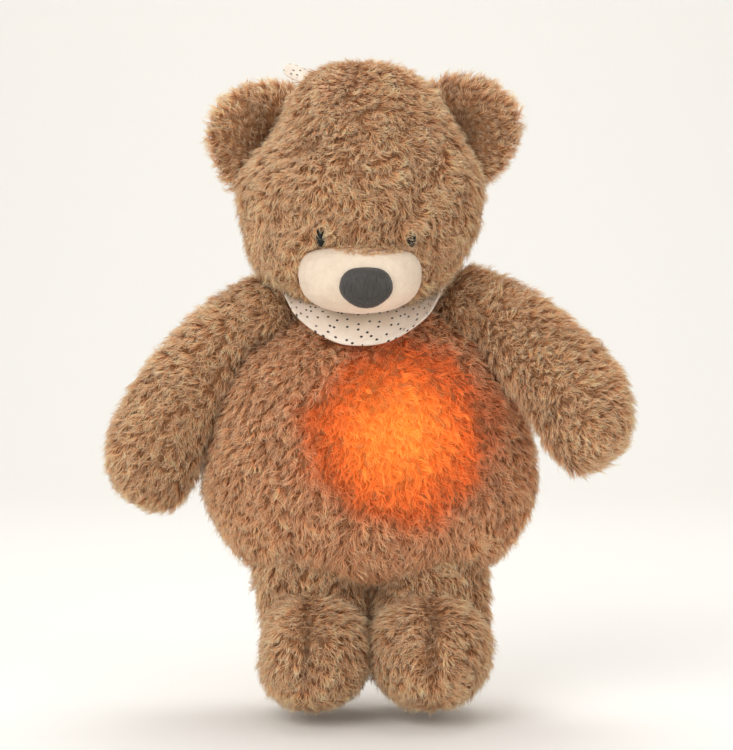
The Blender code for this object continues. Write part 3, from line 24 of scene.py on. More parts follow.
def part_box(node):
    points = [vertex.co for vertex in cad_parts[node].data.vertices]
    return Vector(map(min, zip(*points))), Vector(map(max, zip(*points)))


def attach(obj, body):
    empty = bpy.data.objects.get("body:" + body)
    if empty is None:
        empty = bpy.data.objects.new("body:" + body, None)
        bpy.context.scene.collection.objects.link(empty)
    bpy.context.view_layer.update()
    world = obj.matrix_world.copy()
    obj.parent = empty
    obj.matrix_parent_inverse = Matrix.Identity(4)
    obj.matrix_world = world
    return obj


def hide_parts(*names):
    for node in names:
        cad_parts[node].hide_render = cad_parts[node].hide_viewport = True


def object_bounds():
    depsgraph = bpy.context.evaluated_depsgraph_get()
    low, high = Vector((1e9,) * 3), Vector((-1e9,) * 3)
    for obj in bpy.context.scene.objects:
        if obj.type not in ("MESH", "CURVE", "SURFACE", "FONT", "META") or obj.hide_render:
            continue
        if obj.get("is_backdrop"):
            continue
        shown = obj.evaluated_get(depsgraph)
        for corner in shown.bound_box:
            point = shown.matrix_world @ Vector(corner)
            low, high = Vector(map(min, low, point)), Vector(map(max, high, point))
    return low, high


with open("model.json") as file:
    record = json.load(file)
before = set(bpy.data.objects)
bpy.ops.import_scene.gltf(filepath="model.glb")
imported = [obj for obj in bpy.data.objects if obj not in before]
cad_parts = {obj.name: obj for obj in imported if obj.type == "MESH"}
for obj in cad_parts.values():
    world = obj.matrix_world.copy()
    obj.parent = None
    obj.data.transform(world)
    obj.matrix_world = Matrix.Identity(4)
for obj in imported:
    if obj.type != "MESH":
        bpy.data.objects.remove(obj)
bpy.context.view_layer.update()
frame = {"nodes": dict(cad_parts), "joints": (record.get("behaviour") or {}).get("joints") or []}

LOG = logging.getLogger("plush_night_light")
MM = 0.001

Stops = Sequence[tuple[float, str]]
Rows = np.ndarray
Field = Callable[[Rows, Rows], Rows]


class Where(Enum):
    """Which coordinates a printed or woven pattern follows."""

    CLOTH_MAP = "cloth"
    OBJECT = "object"


def linear(code: str) -> tuple[float, float, float, float]:
    """Turn an sRGB hex colour into linear light.

    Args:
        code: Six hex digits.

    Returns:
        Red, green, blue and an alpha of one.
    """
    channels = [int(code[start:start + 2], 16) / 255 for start in (0, 2, 4)]
    light = [c / 12.92 if c <= 0.04045 else ((c + 0.055) / 1.055) ** 2.4 for c in channels]
    return (light[0], light[1], light[2], 1.0)


def add_node(
    tree: bpy.types.NodeTree,
    kind: str,
    settings: dict | None = None,
    links: dict | None = None,
    stops: Stops = (),
) -> bpy.types.Node:
    """Add a node with its settings and links.

    Args:
        tree: The material's or world's node tree.
        kind: The node's type without its ShaderNode prefix.
        settings: Property names or input sockets, and their values.
        links: Input sockets, and what feeds each: an output socket, or a node's first output.
        stops: Places and hex colours of a colour ramp.

    Returns:
        The new node.
    """
    node = tree.nodes.new("ShaderNode" + kind)
    for key, value in (settings or {}).items():
        if isinstance(key, str) and hasattr(node, key):
            setattr(node, key, value)
        else:
            node.inputs[key].default_value = value
    for key, source in (links or {}).items():
        socket = source.outputs[0] if isinstance(source, bpy.types.Node) else source
        tree.links.new(socket, node.inputs[key])
    for index, (place, code) in enumerate(stops):
        elements = node.color_ramp.elements
        element = elements[index] if index < 2 else elements.new(place)
        element.position = place
        element.color = linear(code)
    return node


@dataclass(frozen=True)
class Finish:
    """A surface finish, built once as a material."""

    name: str

    def surface(self, tree: bpy.types.NodeTree) -> bpy.types.Node:
        """Build the finish's shader in a tree and return it."""
        raise NotImplementedError

    def material(self) -> bpy.types.Material:
        """The finish's material, made at its first use.

        Returns:
            The material.
        """
        found = bpy.data.materials.get(self.name)
        if found is not None:
            return found
        material = bpy.data.materials.new(self.name)
        material.use_nodes = True
        tree = material.node_tree
        tree.nodes.clear()
        shader = self.surface(tree)
        add_node(tree, "OutputMaterial", links={"Surface": shader})
        return material

    def dress(self, piece: bpy.types.Object) -> None:
        """Give a piece this finish alone."""
        piece.data.materials.clear()
        piece.data.materials.append(self.material())


@dataclass(frozen=True)
class Acrylic(Finish):
    """Long-pile acrylic plush: dark between the fibres, paler and softer at their tips. The dark roots are partly
    painted shade and the pale tips partly painted highlights.

    The fibres carry three values of their own: how far along they are, a shade for each lock, and
    how much lamp light reaches them.
    """

    # Root to tip: the plush's own colour, with painted shade at the roots and painted highlights at the tips.
    fibre: Stops = ((0.0, "8C5430"), (0.25, "CB8957"), (0.6, "FAC390"), (1.0, "FFE6C4"))
    lamp: Stops = ((0.0, "D0520E"), (0.3, "F05C08"), (0.6, "FF6A0A"), (0.85, "FF8016"), (1.0, "FFA034"))
    # Painted lamp light: a warm tint of the base colour where the lamp's light comes through.
    painted_lamp_tint: Stops = ((0.0, "FFFFFF"), (0.4, "DCA074"), (1.0, "F0AE74"))
    lamp_strength: float = 0.64
    roughness: float = 0.5
    sheen: float = 0.22
    sheen_tint: tuple[float, float, float, float] = (1.0, 0.74, 0.5, 1.0)
    brightest: tuple[float, float, float] = (0.97, 0.84, 0.66)
    tones: tuple[float, float] = (0.48, 1.5)
    light_along: tuple[float, float] = (0.7, 1.0)
    light_by_lock: tuple[float, float] = (0.72, 1.3)

    def surface(self, tree: bpy.types.NodeTree) -> bpy.types.Node:
        """Colour along each fibre, toned by its lock, with the lamp's light shining through.

        Args:
            tree: The material's node tree.

        Returns:
            The finish's shader.
        """
        tip = add_node(tree, "Attribute", {"attribute_name": "tip"}).outputs["Fac"]
        shade = add_node(tree, "Attribute", {"attribute_name": "shade"}).outputs["Fac"]
        glow = add_node(tree, "Attribute", {"attribute_name": "glow"}).outputs["Fac"]
        along = add_node(tree, "ValToRGB", links={"Fac": tip}, stops=self.fibre)
        tone = add_node(tree, "MapRange", {"To Min": self.tones[0], "To Max": self.tones[1]}, {"Value": shade})
        toned = add_node(tree, "VectorMath", {"operation": "SCALE"}, {0: along, "Scale": tone})
        # Painted lamp light: the base colour takes a warm tint within the lamp's reach.
        lamp_tint = add_node(tree, "ValToRGB", links={"Fac": glow}, stops=self.painted_lamp_tint)
        lamp_tinted = add_node(tree, "VectorMath", {"operation": "MULTIPLY"}, {0: toned, 1: lamp_tint})
        colour = add_node(tree, "VectorMath", {"operation": "MINIMUM", 1: self.brightest}, {0: lamp_tinted})
        low, high = self.light_along
        along_light = add_node(tree, "MapRange", {"To Min": low, "To Max": high}, {"Value": tip})
        low, high = self.light_by_lock
        lock_light = add_node(tree, "MapRange", {"To Min": low, "To Max": high}, {"Value": shade})
        varied = add_node(tree, "Math", {"operation": "MULTIPLY"}, {0: along_light, 1: lock_light})
        reach = add_node(tree, "Math", {"operation": "MULTIPLY"}, {0: glow, 1: varied})
        lamp = add_node(tree, "ValToRGB", links={"Fac": reach}, stops=self.lamp)
        strength = add_node(tree, "Math", {"operation": "MULTIPLY", 1: self.lamp_strength}, {0: reach})
        return add_node(
            tree, "BsdfPrincipled",
            {
                "Roughness": self.roughness, "Sheen Weight": self.sheen, "Sheen Roughness": 0.4,
                "Sheen Tint": self.sheen_tint, "Specular IOR Level": 0.5,
            },
            {"Base Color": colour, "Emission Color": lamp, "Emission Strength": strength},
        )


@dataclass(frozen=True)
class KnitBacking(Finish):
    """The plush's knitted backing, seen as a dark ground between the fibres."""

    dark: str = "8A603E"
    pale: str = "A87950"
    loop: float = 0.9 * MM
    mottle: float = 5 * MM
    lamp_place: tuple[float, float, float] | None = None
    lamp_reach: float = 56 * MM
    lamp_strength: float = 0.7
    lamp: Stops = ((0.0, "B83A06"), (1.0, "FF8A28"))

    def surface(self, tree: bpy.types.NodeTree) -> bpy.types.Node:
        """Mottled brown with fine knitted loops, lit from within where the lamp lies.

        Args:
            tree: The material's node tree.

        Returns:
            The finish's shader.
        """
        place = add_node(tree, "TexCoord").outputs["Object"]
        mottle = add_node(tree, "TexNoise", {"Scale": 1 / self.mottle, "Detail": 3.0}, {"Vector": place})
        colour = add_node(tree, "ValToRGB", links={"Fac": mottle}, stops=((0.3, self.dark), (0.75, self.pale)))
        loops = add_node(tree, "TexVoronoi", {"Scale": 1 / self.loop}, {"Vector": place})
        bump = add_node(tree, "Bump", {"Strength": 0.5, "Distance": 0.3 * MM}, {"Height": loops})
        links = {"Base Color": colour, "Normal": bump}
        if self.lamp_place is not None:
            far = add_node(tree, "VectorMath", {"operation": "DISTANCE", 1: self.lamp_place}, {0: place})
            share = add_node(
                tree, "MapRange",
                {"interpolation_type": "SMOOTHSTEP", "From Max": self.lamp_reach, "To Min": 1.0, "To Max": 0.0},
                {"Value": far.outputs["Value"]},
            )
            light = add_node(tree, "ValToRGB", links={"Fac": share}, stops=self.lamp)
            power = add_node(tree, "Math", {"operation": "MULTIPLY", 1: self.lamp_strength}, {0: share})
            links |= {"Emission Color": light, "Emission Strength": power}
        return add_node(tree, "BsdfPrincipled", {"Roughness": 0.95}, links)


@dataclass(frozen=True)
class PrintedCotton(Finish):
    """Plain-weave cotton with small printed dots, scattered a few millimetres apart."""

    where: Where = Where.CLOTH_MAP
    ground: str = "F0E4D6"
    shadow: str = "E2D1C0"
    ink: str = "1E1A1A"
    dot_pitch: float = 5.2 * MM
    dot_radius: float = 0.72 * MM
    thread: float = 0.75 * MM
    mottle: float = 9 * MM
    dots: bool = True

    def surface(self, tree: bpy.types.NodeTree) -> bpy.types.Node:
        """Warp and weft as crossed ribs, a faint mottle, and the dots on top.

        Args:
            tree: The material's node tree.

        Returns:
            The finish's shader.
        """
        if self.where is Where.CLOTH_MAP:
            place = add_node(tree, "UVMap", {"uv_map": Where.CLOTH_MAP.value}).outputs["UV"]
        else:
            place = add_node(tree, "TexCoord").outputs["Object"]
        ribs = [
            add_node(
                tree, "TexWave", {"bands_direction": way, "Scale": 0.314 / self.thread, "Distortion": 0.4},
                {"Vector": place},
            ).outputs["Fac"]
            for way in (("X", "Y") if self.where is Where.CLOTH_MAP else ("X", "Z"))
        ]
        weave = add_node(tree, "Math", {"operation": "MULTIPLY"}, {0: ribs[0], 1: ribs[1]})
        mottle = add_node(tree, "TexNoise", {"Scale": 1 / self.mottle, "Detail": 2.0}, {"Vector": place})
        uneven = add_node(tree, "Math", {"operation": "MULTIPLY_ADD", 1: 0.35}, {0: weave, 2: mottle})
        cloth = add_node(tree, "ValToRGB", links={"Fac": uneven}, stops=((0.35, self.shadow), (0.8, self.ground)))
        colour = cloth.outputs[0]
        if self.dots:
            cells = add_node(
                tree, "TexVoronoi",
                {
                    "voronoi_dimensions": "2D" if self.where is Where.CLOTH_MAP else "3D",
                    "Scale": 1 / self.dot_pitch, "Randomness": 0.8,
                },
                {"Vector": place},
            )
            edge = self.dot_radius / self.dot_pitch
            inside = add_node(
                tree, "MapRange", {"From Min": edge * 0.8, "From Max": edge * 1.1, "To Min": 1.0, "To Max": 0.0},
                {"Value": cells},
            )
            printed = add_node(tree, "Mix", {"data_type": "RGBA", 7: linear(self.ink)}, {0: inside, 6: colour})
            colour = printed.outputs[2]
        bump = add_node(tree, "Bump", {"Strength": 0.35, "Distance": 0.2 * MM}, {"Height": weave})
        return add_node(
            tree, "BsdfPrincipled", {"Roughness": 0.88, "Sheen Weight": 0.1},
            {"Base Color": colour, "Normal": bump},
        )


@dataclass(frozen=True)
class Velour(Finish):
    """Short cream velour: a soft nap that pales at grazing angles and marks where it is brushed."""

    pale: str = "EEDCC6"
    deep: str = "DCC8B0"
    nap: float = 0.9 * MM
    brush_mark: float = 11 * MM

    def surface(self, tree: bpy.types.NodeTree) -> bpy.types.Node:
        """Brushed marks over a fine nap.

        Args:
            tree: The material's node tree.

        Returns:
            The finish's shader.
        """
        place = add_node(tree, "TexCoord").outputs["Object"]
        brushed = add_node(
            tree, "TexNoise", {"Scale": 1 / self.brush_mark, "Detail": 7.0, "Roughness": 0.75},
            {"Vector": place},
        )
        colour = add_node(tree, "ValToRGB", links={"Fac": brushed}, stops=((0.32, self.deep), (0.66, self.pale)))
        fibres = add_node(tree, "TexNoise", {"Scale": 1 / self.nap, "Detail": 3.0}, {"Vector": place})
        bump = add_node(tree, "Bump", {"Strength": 0.8, "Distance": 0.4 * MM}, {"Height": fibres})
        return add_node(
            tree, "BsdfPrincipled", {"Roughness": 0.7, "Sheen Weight": 0.35, "Sheen Roughness": 0.35},
            {"Base Color": colour, "Normal": bump},
        )


@dataclass(frozen=True)
class Thread(Finish):
    """Rayon or cotton thread: a slight lustre on fine twisted yarn."""

    colour: str = "46413D"
    dark: str = "211E1C"
    roughness: float = 0.5
    sheen: float = 0.2
    strand: float = 0.6 * MM
    run: float = 7 * MM

    def surface(self, tree: bpy.types.NodeTree) -> bpy.types.Node:
        """Yarn laid upright, with a faint change of tone from strand to strand.

        Args:
            tree: The material's node tree.

        Returns:
            The finish's shader.
        """
        place = add_node(tree, "TexCoord").outputs["Object"]
        drawn = add_node(
            tree, "VectorMath", {"operation": "MULTIPLY", 1: (1 / self.strand, 1 / self.strand, 1 / self.run)},
            {0: place},
        )
        strands = add_node(tree, "TexNoise", {"Scale": 1.0, "Detail": 2.0}, {"Vector": drawn})
        colour = add_node(tree, "ValToRGB", links={"Fac": strands}, stops=((0.22, self.dark), (0.7, self.colour)))
        return add_node(
            tree, "BsdfPrincipled",
            {"Roughness": self.roughness, "Sheen Weight": self.sheen, "Specular IOR Level": 0.3},
            {"Base Color": colour},
        )


@dataclass(frozen=True)
class Tape(Finish):
    """Hook or loop tape: a woven nylon ground with a dense field of small hooks or loops."""

    pale: str = "E6E2DA"
    dark: str = "BDB7AC"
    pitch: float = 1.3 * MM

    def surface(self, tree: bpy.types.NodeTree) -> bpy.types.Node:
        """Small round heads on a darker ground.

        Args:
            tree: The material's node tree.

        Returns:
            The finish's shader.
        """
        place = add_node(tree, "TexCoord").outputs["Object"]
        heads = add_node(tree, "TexVoronoi", {"Scale": 1 / self.pitch, "Randomness": 0.35}, {"Vector": place})
        colour = add_node(tree, "ValToRGB", links={"Fac": heads}, stops=((0.15, self.pale), (0.6, self.dark)))
        bump = add_node(tree, "Bump", {"Strength": 0.8, "Distance": 0.5 * MM, "invert": True}, {"Height": heads})
        return add_node(tree, "BsdfPrincipled", {"Roughness": 0.6}, {"Base Color": colour, "Normal": bump})


@dataclass(frozen=True)
class Moulded(Finish):
    """An injection-moulded or dipped part with a fine spark-eroded grain.

    The grain of a real casing is about a tenth of a millimetre. It is drawn coarser, so that it shows.
    """

    colour: str = "ECEAE4"
    roughness: float = 0.42
    grain: float = 0.6 * MM
    mark: float = 14 * MM
    metallic: float = 0.0
    emission: str | None = None
    strength: float = 0.0
    worn: str | None = None

    def surface(self, tree: bpy.types.NodeTree) -> bpy.types.Node:
        """A plain body colour with slight handling marks and grain.

        Args:
            tree: The material's node tree.

        Returns:
            The finish's shader.
        """
        place = add_node(tree, "TexCoord").outputs["Object"]
        marks = add_node(tree, "TexNoise", {"Scale": 1 / self.mark, "Detail": 4.0}, {"Vector": place})
        colour = add_node(
            tree, "ValToRGB", links={"Fac": marks},
            stops=((0.25, self.worn or self.colour), (0.6, self.colour)),
        )
        rough = add_node(
            tree, "MapRange", {"To Min": self.roughness - 0.08, "To Max": self.roughness + 0.1},
            {"Value": marks},
        )
        grain = add_node(tree, "TexNoise", {"Scale": 1 / self.grain, "Detail": 2.0}, {"Vector": place})
        bump = add_node(tree, "Bump", {"Strength": 0.12, "Distance": 0.1 * MM}, {"Height": grain})
        settings = {"Metallic": self.metallic}
        if self.emission:
            settings |= {"Emission Color": linear(self.emission), "Emission Strength": self.strength}
        return add_node(
            tree, "BsdfPrincipled", settings,
            {
                "Base Color": colour,
                "Roughness": rough,
                "Normal": bump,
            },
        )


class Shop:
    """The finishes that the toy's pieces share."""

    acrylic = Acrylic("acrylic long-pile plush")
    backing = KnitBacking("knitted plush backing")
    cotton = PrintedCotton("plain-weave cotton with dots")
    lining = PrintedCotton("plain-weave cotton lining", where=Where.OBJECT, dots=False)
    velour = Velour("cream cotton velour")
    charcoal = Thread("charcoal rayon thread")
    ink_thread = Thread("black rayon thread", colour="0E0B0B", dark="070606", roughness=0.3, sheen=0.0)
    white_thread = Thread("white cotton thread", colour="EDE5DA", dark="D5CABC")
    hook_tape = Tape("nylon hook tape")
    loop_tape = Tape("nylon loop tape", pale="DAD4CA", dark="AFA79B", pitch=0.9 * MM)
    casing = Moulded("spark-grained ABS", worn="E0DDD5")
    diffuser = Moulded("frosted polycarbonate", colour="FFE0B4", roughness=0.35, emission="FF9A3C", strength=0.7)
    board = Moulded("solder-masked glass epoxy", colour="2F6B45", roughness=0.35, worn="24563A")
    nickel = Moulded("nickel-plated steel", colour="C4C3C0", roughness=0.28, metallic=1.0, worn="A9A7A2")
    paper = Moulded("pressed paper cone", colour="2E2D2F", roughness=0.8, worn="232224")
    silicone = Moulded("moulded silicone rubber", colour="A2A6A8", roughness=0.6, worn="8F9395")
    jacket = Moulded("printed cell jacket", colour="4C4E53", roughness=0.32, worn="3C3E42")


def collect(piece: bpy.types.Object) -> bpy.types.Object:
    """Link a piece to the scene."""
    bpy.context.scene.collection.objects.link(piece)
    return piece


def mesh_piece(name: str, points: Rows, faces: Sequence[Sequence[int]], smooth: bool = True) -> bpy.types.Object:
    """Make a piece from points and faces, its normals facing out.

    Args:
        name: The piece's name.
        points: Places of its corners.
        faces: Corner numbers of each face.
        smooth: Whether it is shaded smooth.

    Returns:
        The piece.
    """
    mesh = bpy.data.meshes.new(name)
    mesh.from_pydata([tuple(point) for point in points], [], [tuple(face) for face in faces])
    bm = bmesh.new()
    bm.from_mesh(mesh)
    bmesh.ops.recalc_face_normals(bm, faces=bm.faces)
    bm.to_mesh(mesh)
    bm.free()
    if smooth:
        mesh.shade_smooth()
    return collect(bpy.data.objects.new(name, mesh))


def applied(piece: bpy.types.Object) -> bpy.types.Object:
    """Replace a piece's mesh by what its modifiers make of it.

    Args:
        piece: The piece.

    Returns:
        The same piece.
    """
    bpy.context.view_layer.update()
    graph = bpy.context.evaluated_depsgraph_get()
    made = bpy.data.meshes.new_from_object(piece.evaluated_get(graph))
    piece.modifiers.clear()
    piece.data = made
    made.name = piece.name
    return piece


def node_copy(node: str, name: str) -> bpy.types.Object:
    """Copy a node's solid as a welded mesh of its own.

    Args:
        node: The node that it stands for.
        name: Its name.

    Returns:
        The copy.
    """
    mesh = frame["nodes"][node].data.copy()
    mesh.materials.clear()
    bm = bmesh.new()
    bm.from_mesh(mesh)
    bmesh.ops.remove_doubles(bm, verts=bm.verts, dist=0.001 * MM)
    bm.to_mesh(mesh)
    bm.free()
    return collect(bpy.data.objects.new(name, mesh))


def smooth_skin(node: str, name: str, voxel: float = 2.4 * MM, rounds: int = 12) -> bpy.types.Object:
    """Make a smooth, even skin over a stuffed node.

    Args:
        node: The node that the skin stands for.
        name: The skin's name.
        voxel: Side of the skin's faces.
        rounds: How often the skin is relaxed.

    Returns:
        The skin, closed and shaded smooth.
    """
    skin = node_copy(node, name)
    remesh = skin.modifiers.new("Even faces", "REMESH")
    remesh.mode = "VOXEL"
    remesh.voxel_size = voxel
    relax = skin.modifiers.new("Relax", "SMOOTH")
    relax.factor = 0.5
    relax.iterations = rounds
    applied(skin)
    skin.data.shade_smooth()
    return skin


def hill(values: Rows, top: float, span: float) -> Rows:
    """A smooth hill over values: one at its top, and nothing farther off than its span."""
    return np.sin(np.clip(1 - np.abs(values - top) / span, 0, 1) * math.pi / 2) ** 2


def reshape(skin: bpy.types.Object, change: Field) -> None:
    """Move a skin's corners to where a function of their places and normals puts them.

    Args:
        skin: The skin.
        change: Turns places and normals into the new places.
    """
    moved = change(points_of(skin.data), points_of(skin.data, "normal"))
    skin.data.vertices.foreach_set("co", moved.ravel())
    skin.data.update()


def points_of(mesh: bpy.types.Mesh, what: str = "co") -> Rows:
    """Read the corners or the normals of a mesh as an array of rows.

    Args:
        mesh: The mesh.
        what: Either co or normal.

    Returns:
        One row for each corner.
    """
    values = np.empty(len(mesh.vertices) * 3)
    mesh.vertices.foreach_get(what, values)
    return values.reshape(-1, 3)


def tree_of(pieces: Sequence[bpy.types.Object]) -> BVHTree:
    """Make one search tree of several pieces.

    Args:
        pieces: Nodes of the frame, or skins.

    Returns:
        The tree of all their faces.
    """
    points: list[Vector] = []
    faces: list[tuple[int, ...]] = []
    for piece in pieces:
        start = len(points)
        points += [piece.matrix_world @ vertex.co for vertex in piece.data.vertices]
        faces += [tuple(start + corner for corner in face.vertices) for face in piece.data.polygons]
    return BVHTree.FromPolygons(points, faces)


def tree_of_nodes(names: Sequence[str]) -> BVHTree:
    """Make one search tree of several nodes' solids."""
    return tree_of([frame["nodes"][name] for name in names])


def distances(points: Rows, tree: BVHTree, limit: float) -> Rows:
    """Distance of each point to the nearest surface of a tree, no more than a limit."""
    found = [tree.find_nearest(Vector(point), limit)[3] for point in points]
    return np.array([limit if value is None else value for value in found])


def unit(rows: Rows) -> Rows:
    """Scale each row to length one."""
    return rows / np.maximum(np.linalg.norm(rows, axis=1, keepdims=True), 1e-9)


def drift(points: Rows, wave: float, seed: int) -> Rows:
    """A smooth random value from -1 to 1 over space, as a sum of sines.

    Args:
        points: Places, one a row.
        wave: The pattern's rough size.
        seed: Picks the pattern.

    Returns:
        One value for each place.
    """
    rng = np.random.default_rng(seed)
    value = np.zeros(len(points))
    for _ in range(4):
        way = rng.normal(size=3)
        way *= math.tau / wave / np.linalg.norm(way)
        value += np.sin(points @ way + rng.uniform(0, math.tau))
    return value / 2.6


@dataclass
class Pile:
    """Long pile on a stuffed piece, grown as separate fibres in locks.

    The visible locks of such plush are about 2 mm apart and 5 mm long, and the fibres are drawn
    about a third of a millimetre thick, because finer ones would not show.
    """

    name: str
    skin: bpy.types.Object
    own_nodes: Sequence[str]
    flow: Field
    body: str
    density: float = 146e4
    back_share: float = 0.6
    length: float = 8.2 * MM
    radius: float = 0.17 * MM
    bare: float = 1.0 * MM
    root_lift: float = math.radians(52)
    tip_lift: float = math.radians(12)
    lock_fibres: int = 7
    lock_turn: float = math.radians(26)
    own_turn: float = math.radians(14)
    swirl: float = math.radians(30)
    swirl_wave: float = 30 * MM
    gather: float = 0.6
    curl: float = 0.22
    seed: int = 1
    crowd: Sequence[str] = ()
    keep: Field | None = None
    length_share: Field | None = None
    tone: Field | None = None
    glow: Field | None = None

    CROWD_REACH = 6.0 * MM
    CROWD_SHORTEST = 0.45
    FRONT_BIAS = 0.75
    LENGTH_SPREAD = (0.14, 0.1)
    LIFT_SPREAD = (0.16, 0.1)
    END_SPREAD = (0.22, 0.12)
    SHADE_SPREAD = (0.15, 0.13, 0.08)
    SHADE_WAVE = 26 * MM
    SHADE_LIMITS = (0.03, 0.97)
    WAVE_TURNS = 5.2
    SUNK = 0.4 * MM
    PLACES = (0.0, 0.38, 0.72, 1.0)
    TAPER = (1.0, 0.86, 0.55)
    MOST_FIBRES = 12_400
    MAP_WIDTH = 0.012

    def may_grow(self, points: Rows, normals: Rows) -> Rows:
        """Which roots stand clear of the pieces that the skin carries or touches.

        Args:
            points: Places, one a row.
            normals: The skin's outward direction at each place.

        Returns:
            One truth value for each root.
        """
        others = [node for node in frame["nodes"] if node not in self.own_nodes]
        free = distances(points, tree_of_nodes(others), 2 * self.bare) > self.bare
        return free if self.keep is None else free & (self.keep(points, normals) > 0.5)

    def room(self, points: Rows) -> Rows:
        """How long the pile may be beside crowding pieces, as a share.

        Args:
            points: Places, one a row.

        Returns:
            One value for each place.
        """
        if not self.crowd:
            return np.ones(len(points))
        near = distances(points, tree_of_nodes(self.crowd), self.CROWD_REACH)
        return self.CROWD_SHORTEST + (1 - self.CROWD_SHORTEST) * np.clip(near / self.CROWD_REACH, 0, 1)

    def roots(self, rng: np.random.Generator) -> tuple[Rows, Rows]:
        """Scatter fibre roots evenly over the skin's free area.

        Args:
            rng: The source of the scatter.

        Returns:
            Places and normals, one row a root.
        """
        mesh = self.skin.data
        mesh.calc_loop_triangles()
        corners = np.empty(len(mesh.loop_triangles) * 3, dtype=np.int64)
        mesh.loop_triangles.foreach_get("vertices", corners)
        corners = corners.reshape(-1, 3)
        points, normals = points_of(mesh), points_of(mesh, "normal")
        sides = points[corners]
        area = np.linalg.norm(np.cross(sides[:, 1] - sides[:, 0], sides[:, 2] - sides[:, 0]), axis=1) / 2
        front = np.clip(self.FRONT_BIAS - normals[corners, 1].mean(axis=1), 0, 1)
        share = area * (self.back_share + (1 - self.back_share) * front)
        count = int(share.sum() * self.density)
        picked = corners[rng.choice(len(corners), size=count, p=share / share.sum())]
        first, second = rng.random(count), rng.random(count)
        flip = first + second > 1
        first[flip], second[flip] = 1 - first[flip], 1 - second[flip]
        weights = np.stack((1 - first - second, first, second), axis=1)[:, :, None]
        places = (points[picked] * weights).sum(axis=1)
        facing = unit((normals[picked] * weights).sum(axis=1))
        free = self.may_grow(places, facing)
        return places[free], facing[free]

    def locks(self, roots: Rows) -> Rows:
        """The lock that each root belongs to, as the number of the lock's leading root.

        Args:
            roots: The fibres' roots, one a row.

        Returns:
            One number for each root.
        """
        leaders = max(1, len(roots) // self.lock_fibres)
        tree = KDTree(leaders)
        for index in range(leaders):
            tree.insert(roots[index], index)
        tree.balance()
        return np.array([tree.find(root)[1] for root in roots])

    def grow(self) -> list[bpy.types.Object]:
        """Grow the pile and return its pieces.

        Returns:
            The pile's pieces.
        """
        rng = np.random.default_rng(self.seed)
        roots, normals = self.roots(rng)
        room = self.room(roots)
        count = len(roots)
        lock = self.locks(roots)
        flow = self.flow(roots, normals)
        flow = unit(flow - (flow * normals).sum(axis=1, keepdims=True) * normals)
        side = np.cross(normals, flow)
        lock_value = rng.normal(size=(count, 4))[lock]
        own = rng.normal(size=(count, 4))
        turn = self.lock_turn * lock_value[:, 0] + self.own_turn * own[:, 0]
        turn = turn + self.swirl * drift(roots, self.swirl_wave, self.seed)
        way = flow * np.cos(turn)[:, None] + side * np.sin(turn)[:, None]
        across = np.cross(normals, way)
        by_lock, by_own = self.LENGTH_SPREAD
        length = self.length * room * np.clip(1 + by_lock * lock_value[:, 1] + by_own * own[:, 1], 0.55, 1.4)
        if self.length_share is not None:
            length = length * self.length_share(roots, normals)
        lift = self.root_lift + self.LIFT_SPREAD[0] * lock_value[:, 2] + self.LIFT_SPREAD[1] * own[:, 2]
        start = normals * np.sin(lift)[:, None] + way * np.cos(lift)[:, None]
        end_lift = self.tip_lift + self.END_SPREAD[0] * lock_value[:, 3] + self.END_SPREAD[1] * own[:, 3]
        end = normals * np.sin(end_lift)[:, None] + way * np.cos(end_lift)[:, None]
        pull = (roots[lock] - roots) * self.gather
        phase = math.tau * rng.random(count)[lock] + 0.5 * own[:, 0]
        rings = []
        for place in self.PLACES:
            bent = start * (place - place * place / 2) + end * (place * place / 2)
            wave = self.curl * (np.sin(phase + self.WAVE_TURNS * place) - np.sin(phase)) * place
            path = roots - normals * self.SUNK + bent * length[:, None]
            rings.append(path + pull * place + across * (wave * length)[:, None])
        by_lock, by_own, by_place = self.SHADE_SPREAD
        patches = drift(roots, self.SHADE_WAVE, self.seed + 7)
        shade = 0.5 + by_lock * lock_value[:, 0] + by_own * own[:, 3] + by_place * patches
        if self.tone is not None:
            shade = shade + self.tone(roots, normals)
        glow = self.glow(roots, normals) if self.glow is not None else np.zeros(count)
        order = np.argsort(roots[:, 2] + 0.35 * roots[:, 0])
        parts = max(1, math.ceil(count / self.MOST_FIBRES))
        made = []
        for number, chosen in enumerate(np.array_split(order, parts)):
            name = self.name if parts == 1 else f"{self.name}_{number + 1}"
            tones = np.clip(shade[chosen], *self.SHADE_LIMITS)
            piece = self.build(name, [ring[chosen] for ring in rings], across[chosen], tones, glow[chosen])
            made.append(piece)
        LOG.info("%s: %d fibres in %d pieces", self.name, count, parts)
        return made

